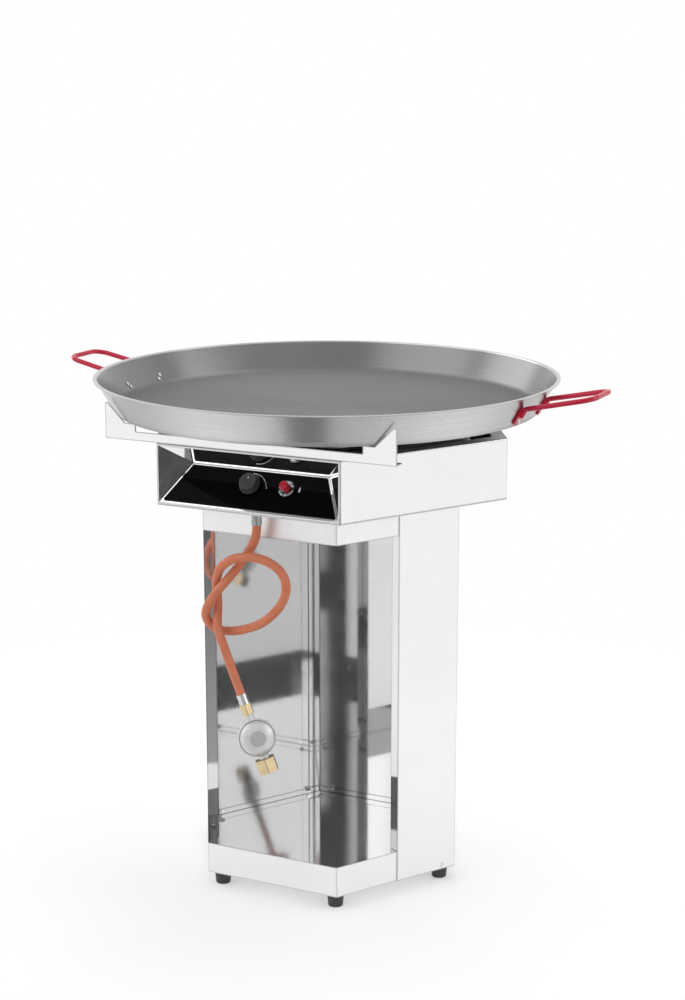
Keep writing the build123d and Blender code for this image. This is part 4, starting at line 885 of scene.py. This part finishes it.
class GRILL_OT_controls(bpy.types.Operator):
    """Finishes the knob and the igniter, and sets the knob's white dot"""

    bl_idname = "grill.controls"
    bl_label = "Knob and igniter"

    def execute(self, context):
        settings = context.scene.grill_panel
        satin = mottled(
            "knob_satin", settings.knob, shade(settings.knob, 1.35), 0.42, patches=(420, 3),
            gloss=(160, 3, 0.36, 0.52), relief=(2600, 2, 0.00004, 0.5), Specular_IOR_Level=0.5)
        satin.dress("control_knob")
        white = mottled("knob_dot_white", settings.mark, shade(settings.mark, 0.9), 0.4, patches=(1500, 2))
        work = bmesh.new()
        outline = disc(on_panel(0, settings.dot_offset), settings.dot_radius)
        face = panel_height("control_knob")
        prism(work, outline, face - settings.dot_sunk, face + settings.dot_proud)
        piece("knob_dot", mesh_from("knob_dot", work), "knob", white)

        gloss = mottled(
            "igniter_gloss", settings.red, shade(settings.red, 0.82), 0.16, patches=(300, 2),
            gloss=(220, 3, 0.12, 0.24), relief=(1200, 1, 0.00002, 0.3), Coat_Weight=0.4)
        gloss.dress("igniter_button")
        # The bezel's darkened chrome and its dark patches are painted reflections of the black panel round
        # it.
        painted_chrome = mottled(
            "bezel_chrome", (0.34, 0.35, 0.36), (0.05, 0.05, 0.055), 0.12, 1.0,
            patches=(190, 2, 0.42, 0.62), gloss=(180, 3, 0.08, 0.16))
        painted_chrome.dress("igniter_bezel")
        moulding = mottled(
            "igniter_moulding", (0.018, 0.018, 0.019), (0.028, 0.028, 0.029), 0.5, patches=(240, 3),
            gloss=(240, 3, 0.42, 0.6), relief=(1800, 2, 0.00005, 0.5))
        moulding.dress("igniter_body")
        return {"FINISHED"}


class GRILL_OT_ring_burners(bpy.types.Operator):
    """Finishes the ring burners, and gives them flame ports and weld beads"""

    bl_idname = "grill.ring_burners"
    bl_label = "Ring burners"

    def execute(self, context):
        settings = context.scene.grill_burner
        tube = mottled(
            "burner_tube", (0.56, 0.555, 0.548), (0.48, 0.472, 0.46), 0.22, 0.96, patches=(26, 4),
            gloss=(120, 4, 0.16, 0.26), relief=(900, 2, 0.00002, 0.4, (1, 1, 0.2)))
        tube.dress(
            "mixing_tube", "tube_saddle", "riser_manifold", "ring_legs", "outer_ring", "inner_ring",
            "pilot_bracket", "electrode_wire")
        # The flame ports are thin dark discs on the tubes: painted shade in place of holes.
        shadow = mottled(
            "port_shadow", (0.012, 0.011, 0.010), (0.03, 0.026, 0.022), 0.85, patches=(1500, 2))
        bead = mottled(
            "weld_bead", (0.62, 0.60, 0.57), (0.42, 0.37, 0.31), 0.34, 1.0, patches=(260, 3),
            gloss=(500, 3, 0.26, 0.46), relief=(700, 2, 0.0003, 0.8))
        tree = port_tree()
        for ring in ("outer_ring", "inner_ring"):
            path, ends = self.ring_path(settings, ring)
            ports = self.ports(settings, ring + "_ports", path, tree, shadow)
            piece(ring + "_ports", ports, "burner_unit", shadow)
            beads = self.beads(settings, ring + "_welds", ends)
            piece(ring + "_welds", beads, "burner_unit", bead)
        return {"FINISHED"}

    def ring_path(self, settings, ring):
        """A ring's middle line from one side of the manifold to the other, and its two ends."""
        low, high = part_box(ring)
        height = (low.z + high.z) / 2
        rear = high.y - settings.ring_radius
        corner = rear / math.cos(math.pi / 6)
        turns = [math.pi / 3 * (1 - step) for step in range(6)]
        corners = [Vector((math.cos(turn) * corner, math.sin(turn) * corner, height)) for turn in turns]
        start, stop = (Vector((KNOB_CENTRE.x + side * settings.bar_half, rear, height)) for side in (1, -1))
        inset = RIGHT * settings.port_inset
        return [start + inset, *corners, stop - inset], (start, stop)

    def ports(self, settings, name, path, tree, finish):
        """Flame ports on both sides of a ring's top."""
        edges = [(index, index + 1) for index in range(len(path) - 1)]
        work = bmesh.new()
        for side in (1, -1):
            base = bpy.data.meshes.new(name + "_path")
            base.from_pydata([tuple(point) for point in path], edges, [])
            grown = tree.grow(name + "_side", base, finish, {
                "Tube radius": settings.ring_radius, "Corner radius": settings.ring_corner,
                "Spacing": settings.port_spacing, "Tilt": settings.port_tilt * side,
                "Port radius": settings.port_radius, "Port height": settings.port_height})
            work.from_mesh(grown)
            bpy.data.meshes.remove(grown)
        return mesh_from(name, work)

    def beads(self, settings, name, ends):
        """A weld bead round each end of a ring, where it meets the manifold."""
        work = bmesh.new()
        bends = [math.tau * part / BEAD_SIDES for part in range(BEAD_SIDES)]
        for end, outward in zip(ends, (1, -1)):
            rows = []
            for step in range(BEAD_STEPS):
                turn = math.tau * step / BEAD_STEPS
                spoke = Vector((0, math.cos(turn), math.sin(turn)))
                waves = sum(rise * math.sin(count * turn + phase) for rise, count, phase in BEAD_WAVES)
                radius = settings.bead * (1 + waves)
                middle = end + RIGHT * outward * settings.bead_lift + spoke * settings.ring_radius
                arms = [spoke * math.cos(bend) + RIGHT * math.sin(bend) for bend in bends]
                rows.append([work.verts.new(middle + arm * radius) for arm in arms])
            skin(work, looped(rows), BEAD_SIDES)
        return mesh_from(name, work, smooth=True)


class GRILL_OT_gas_train(bpy.types.Operator):
    """Finishes the brass, copper, ceramic and wiring of the gas train"""

    bl_idname = "grill.gas_train"
    bl_label = "Gas train"

    def execute(self, context):
        brass = mottled(
            "turned_brass", (0.70, 0.57, 0.355), (0.60, 0.47, 0.275), 0.27, 1.0, patches=(70, 4),
            gloss=(260, 4, 0.20, 0.36), relief=(1600, 2, 0.00003, 0.5, (0.25, 0.25, 1)))
        brass.dress("inlet_nipple", "injector", "hose_nut", "bottle_nut", "thermocouple")
        copper = mottled(
            "copper_line", (0.70, 0.34, 0.20), (0.50, 0.22, 0.13), 0.26, 1.0, patches=(60, 4),
            gloss=(200, 3, 0.2, 0.36))
        copper.dress("thermocouple_line")
        ceramic = mottled(
            "glazed_ceramic", (0.80, 0.79, 0.75), (0.72, 0.70, 0.65), 0.22, patches=(120, 3),
            relief=(700, 2, 0.00003, 0.4), Coat_Weight=0.5)
        ceramic.dress("spark_electrode")
        sleeve = mottled(
            "silicone_sleeve", (0.10, 0.012, 0.010), (0.15, 0.02, 0.017), 0.5, patches=(240, 3),
            gloss=(400, 2, 0.44, 0.6))
        sleeve.dress("ignition_lead")
        plated = mottled(
            "tap_plating", (0.66, 0.655, 0.64), (0.54, 0.53, 0.51), 0.3, 1.0, patches=(90, 4),
            gloss=(300, 3, 0.24, 0.4), relief=(1100, 2, 0.00004, 0.4))
        plated.dress("gas_tap", "valve_push_pin", "tap_spindle", "inlet_stem")
        crimped = mottled(
            "ferrule_plating", (0.72, 0.72, 0.71), (0.60, 0.60, 0.59), 0.2, 1.0, patches=(120, 3),
            gloss=(300, 3, 0.16, 0.3), relief=(500, 2, 0.00006, 0.5, (1, 1, 0.3)))
        crimped.dress("hose_ferrule_lower")
        dull = mottled(
            "nipple_steel", (0.40, 0.40, 0.395), (0.31, 0.31, 0.305), 0.3, 1.0, patches=(120, 3),
            gloss=(300, 3, 0.24, 0.38))
        dull.dress("hose_ferrule_upper")
        return {"FINISHED"}


class GRILL_OT_regulator(bpy.types.Operator):
    """Finishes the regulator and gives its cover a groove and a plain plate"""

    bl_idname = "grill.regulator"
    bl_label = "Regulator"

    def execute(self, context):
        cast = mottled(
            "regulator_casting", (0.80, 0.805, 0.81), (0.73, 0.735, 0.74), 0.36, 0.3, patches=(70, 4),
            gloss=(320, 3, 0.30, 0.46), relief=(1300, 3, 0.00006, 0.6))
        cast.dress("regulator_body", "regulator_cover")
        rubber = mottled(
            "seal_rubber", (0.016, 0.016, 0.016), (0.028, 0.028, 0.027), 0.6, patches=(300, 3),
            gloss=(300, 3, 0.5, 0.7))
        rubber.dress("inlet_seal")
        # The groove is a dark ring on the cover: painted shade of a groove.
        groove = mottled("groove_shadow", (0.10, 0.10, 0.105), (0.15, 0.15, 0.155), 0.55, patches=(500, 2))
        plate = mottled(
            "cover_plate", (0.56, 0.57, 0.585), (0.50, 0.51, 0.525), 0.34, 0.4, patches=(150, 3),
            gloss=(500, 2, 0.26, 0.42))
        cover = self.cover_frame()
        for name, profile, finish in (("cover_groove", GROOVE, groove), ("cover_plate", PLATE, plate)):
            piece(name, self.revolved(name, profile, *cover), "burner_unit", finish)
        return {"FINISHED"}

    def cover_frame(self):
        """The middle of the cover's face, the direction that it faces and a direction across it."""
        vertices = [vertex.co.copy() for vertex in frame["nodes"]["regulator_cover"].data.vertices]
        middle = sum(vertices, Vector()) / len(vertices)
        spread = Matrix(((0,) * 3,) * 3)
        for point in vertices:
            arm = point - middle
            for row in range(3):
                for column in range(3):
                    spread[row][column] += arm[row] * arm[column]
        axis = Vector((0, -1, 0))
        inverse = (spread + Matrix.Identity(3) * AXIS_FLOOR).inverted()
        for _ in range(AXIS_ROUNDS):
            axis = (inverse @ axis).normalized()
        if axis.y > 0:
            axis.negate()
        low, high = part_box("regulator_cover")
        return (low + high) / 2, axis, axis.cross(UP).normalized()

    def revolved(self, name, profile, centre, axis, side):
        """A ring or disc that lies on the cover, from rows of a radius and a lift off its surface."""
        cover = frame["nodes"]["regulator_cover"].data
        surface = BVHTree.FromPolygons(
            [vertex.co for vertex in cover.vertices], [tuple(face.vertices) for face in cover.polygons])
        other = axis.cross(side)
        work = bmesh.new()
        rows = []
        for step in range(COVER_STEPS):
            turn = math.tau * step / COVER_STEPS
            spoke = side * math.cos(turn) + other * math.sin(turn)
            row = []
            for radius, lift in profile:
                hit = surface.ray_cast(centre + spoke * radius + axis * RAY_START, -axis)[0]
                if hit is None:
                    raise RuntimeError(f"{name} lies off the regulator's cover")
                row.append(work.verts.new(hit + axis * lift))
            rows.append(row)
        ring = profile[0][0] > 0
        skin(work, looped(rows), len(profile) if ring else len(profile) - 1)
        bmesh.ops.remove_doubles(work, verts=work.verts, dist=MERGE_WIDE)
        bmesh.ops.dissolve_degenerate(work, edges=work.edges, dist=MERGE)
        return mesh_from(name, work)


class GRILL_OT_pan(bpy.types.Operator):
    """Finishes the ground steel pan and its enamelled handles"""

    bl_idname = "grill.pan"
    bl_label = "Pan and handles"

    def execute(self, context):
        settings = context.scene.grill_sheet
        self.grind(settings)
        enamel = mottled(
            "handle_enamel", settings.enamel, shade(settings.enamel, 0.93), 0.2, patches=(60, 3),
            gloss=(160, 3, 0.14, 0.24), relief=(420, 2, 0.000006, 0.4), Specular_IOR_Level=0.4)
        enamel.dress("handle_left", "handle_right")
        return {"FINISHED"}

    def grind(self, settings):
        """Steel with round scratches, bright sectors of painted sheen, painted shade inside and a painted
        highlight on the rim.
        """
        low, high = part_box("pan")
        centre = ((low.x + high.x) / 2, (low.y + high.y) / 2, low.z)
        ground = Finish("pan_ground", settings.pan, 0.30, 1.0, Anisotropic=0.5, Anisotropic_Rotation=0.25)
        fine = ground.noise(1, 4, vector=ground.polar(centre, *FINE_SCRATCHES))
        broad = ground.noise(1, 3, vector=ground.polar(centre, *BROAD_SCRATCHES))
        # Painted sheen: the colour brightens in sectors round the pan's axis.
        turn = ground.maths("ADD", ground.round_axis(centre)[1], settings.painted_sheen_turn)
        painted_sheen = ground.maths("COSINE", ground.maths("MULTIPLY", turn, settings.painted_sheen_count))
        ground.tint(painted_sheen, shade(settings.pan, settings.painted_sheen_gain), -1.0, 1.0)
        shares = ((fine, FINE_SHARE), (broad, 1 - FINE_SHARE))
        scratches = ground.maths("ADD", *(ground.maths("MULTIPLY", *share) for share in shares))
        ground.tint(scratches, settings.pan_dark, 0.36, 0.72, 0.35)
        # Painted shade: faces that look up, inside the pan, take the darker colour.
        ground.tint(ground.rise(ground.facing()), settings.pan_inside_shade, -0.1, 0.1)
        height = ground.rise(ground.points())
        # Painted highlight: a band just under the pan's top takes the bright rim colour.
        rim = settings.rim_highlight_height
        ground.tint(height, settings.pan_rim_highlight, high.z - rim, high.z - rim / 2)
        dull = ground.spread(
            height, settings.dull_gain, 0.0, low.z + settings.dull_foot, low.z + settings.pan_dull)
        ground.set(Roughness=ground.maths("ADD", ground.spread(fine, 0.255, 0.30), dull))
        ground.emboss(fine, 0.0000018, 0.3)
        ground.brush_round()
        ground.dress("pan")


class GRILL_OT_fasteners(bpy.types.Operator):
    """Finishes the screws and rivets, and marks their recesses and pins"""

    bl_idname = "grill.fasteners"
    bl_label = "Screws and rivets"

    def execute(self, context):
        settings = context.scene.grill_fasteners
        steel = context.scene.grill_sheet
        plated = mottled(
            "fastener_plating", (0.70, 0.70, 0.69), (0.58, 0.58, 0.57), 0.26, 1.0, patches=(300, 3),
            gloss=(600, 3, 0.2, 0.34), relief=(1500, 2, 0.00004, 0.5))
        plated.dress(
            "seam_screws", "foot_screws", "floor_rivets", "support_screws", "handle_rivets", "tap_nut")
        bright = mottled(
            "rivet_polish", steel.polished, shade(steel.polished, 0.94), 0.07, steel.mirror,
            patches=(300, 3), gloss=(600, 3, 0.05, 0.1))
        bright.dress("tray_rivets")
        # Cross recesses and rivet pins are dark marks on the heads: painted shade of their hollows.
        shadow = mottled("recess_shadow", (0.03, 0.03, 0.03), (0.06, 0.06, 0.058), 0.7, patches=(1500, 2))
        recesses, pins = recess_tree(), pin_tree()
        rows = (
            ("foot_screw_recesses", "foot_screws", "stand", recesses, settings.recess_span),
            ("support_screw_recesses", "support_screws", "burner_unit", recesses, settings.recess_span),
            ("floor_rivet_pins", "floor_rivets", "burner_unit", pins, settings.pin_radius),
        )
        for name, node, body, tree, span in rows:
            # Half of a mark's height lies in its head.
            mesh = tree.grow(name, self.tops(node), shadow, {
                "Span": span, "Width": settings.recess_width, "Height": settings.mark_height * 2})
            piece(name, mesh, body, shadow)
        return {"FINISHED"}

    def tops(self, node):
        """A mesh of bare points, one in the middle of each head's top."""
        mesh = bpy.data.meshes.new(node + "_tops")
        middles = [((low + high) / 2, high.z) for low, high in solids_of(node)]
        mesh.from_pydata([(middle.x, middle.y, top) for middle, top in middles], [], [])
        return mesh


class GRILL_OT_feet(bpy.types.Operator):
    """Finishes the rubber feet"""

    bl_idname = "grill.feet"
    bl_label = "Rubber feet"

    def execute(self, context):
        rubber = mottled(
            "foot_rubber", (0.045, 0.045, 0.046), (0.062, 0.062, 0.061), 0.55, patches=(120, 4),
            gloss=(240, 3, 0.46, 0.68), relief=(900, 2, 0.00012, 0.6))
        rubber.dress("feet")
        return {"FINISHED"}


OPERATORS = (
    GRILL_OT_stage, GRILL_OT_hose, GRILL_OT_sheet_metal, GRILL_OT_control_panel, GRILL_OT_controls,
    GRILL_OT_ring_burners, GRILL_OT_gas_train, GRILL_OT_regulator, GRILL_OT_pan, GRILL_OT_fasteners,
    GRILL_OT_feet,
)


class GRILL_PT_dressing(bpy.types.Panel):
    """Lists the pieces that can be dressed, in their order"""

    bl_idname = "GRILL_PT_dressing"
    bl_label = "Grill dressing"
    bl_space_type = "VIEW_3D"
    bl_region_type = "UI"
    bl_category = "Grill"

    def draw(self, context):
        for operator in OPERATORS:
            self.layout.operator(operator.bl_idname)


def register():
    for name, group in GROUPS.items():
        bpy.utils.register_class(group)
        setattr(bpy.types.Scene, name, PointerProperty(type=group))
    for operator in OPERATORS:
        bpy.utils.register_class(operator)
    bpy.utils.register_class(GRILL_PT_dressing)


def unregister():
    bpy.utils.unregister_class(GRILL_PT_dressing)
    for operator in reversed(OPERATORS):
        bpy.utils.unregister_class(operator)
    for name, group in reversed(GROUPS.items()):
        delattr(bpy.types.Scene, name)
        bpy.utils.unregister_class(group)


def main():
    register()
    for operator in OPERATORS:
        folder, call = operator.bl_idname.split(".")
        getattr(getattr(bpy.ops, folder), call)()


if __name__ == "__main__":
    main()
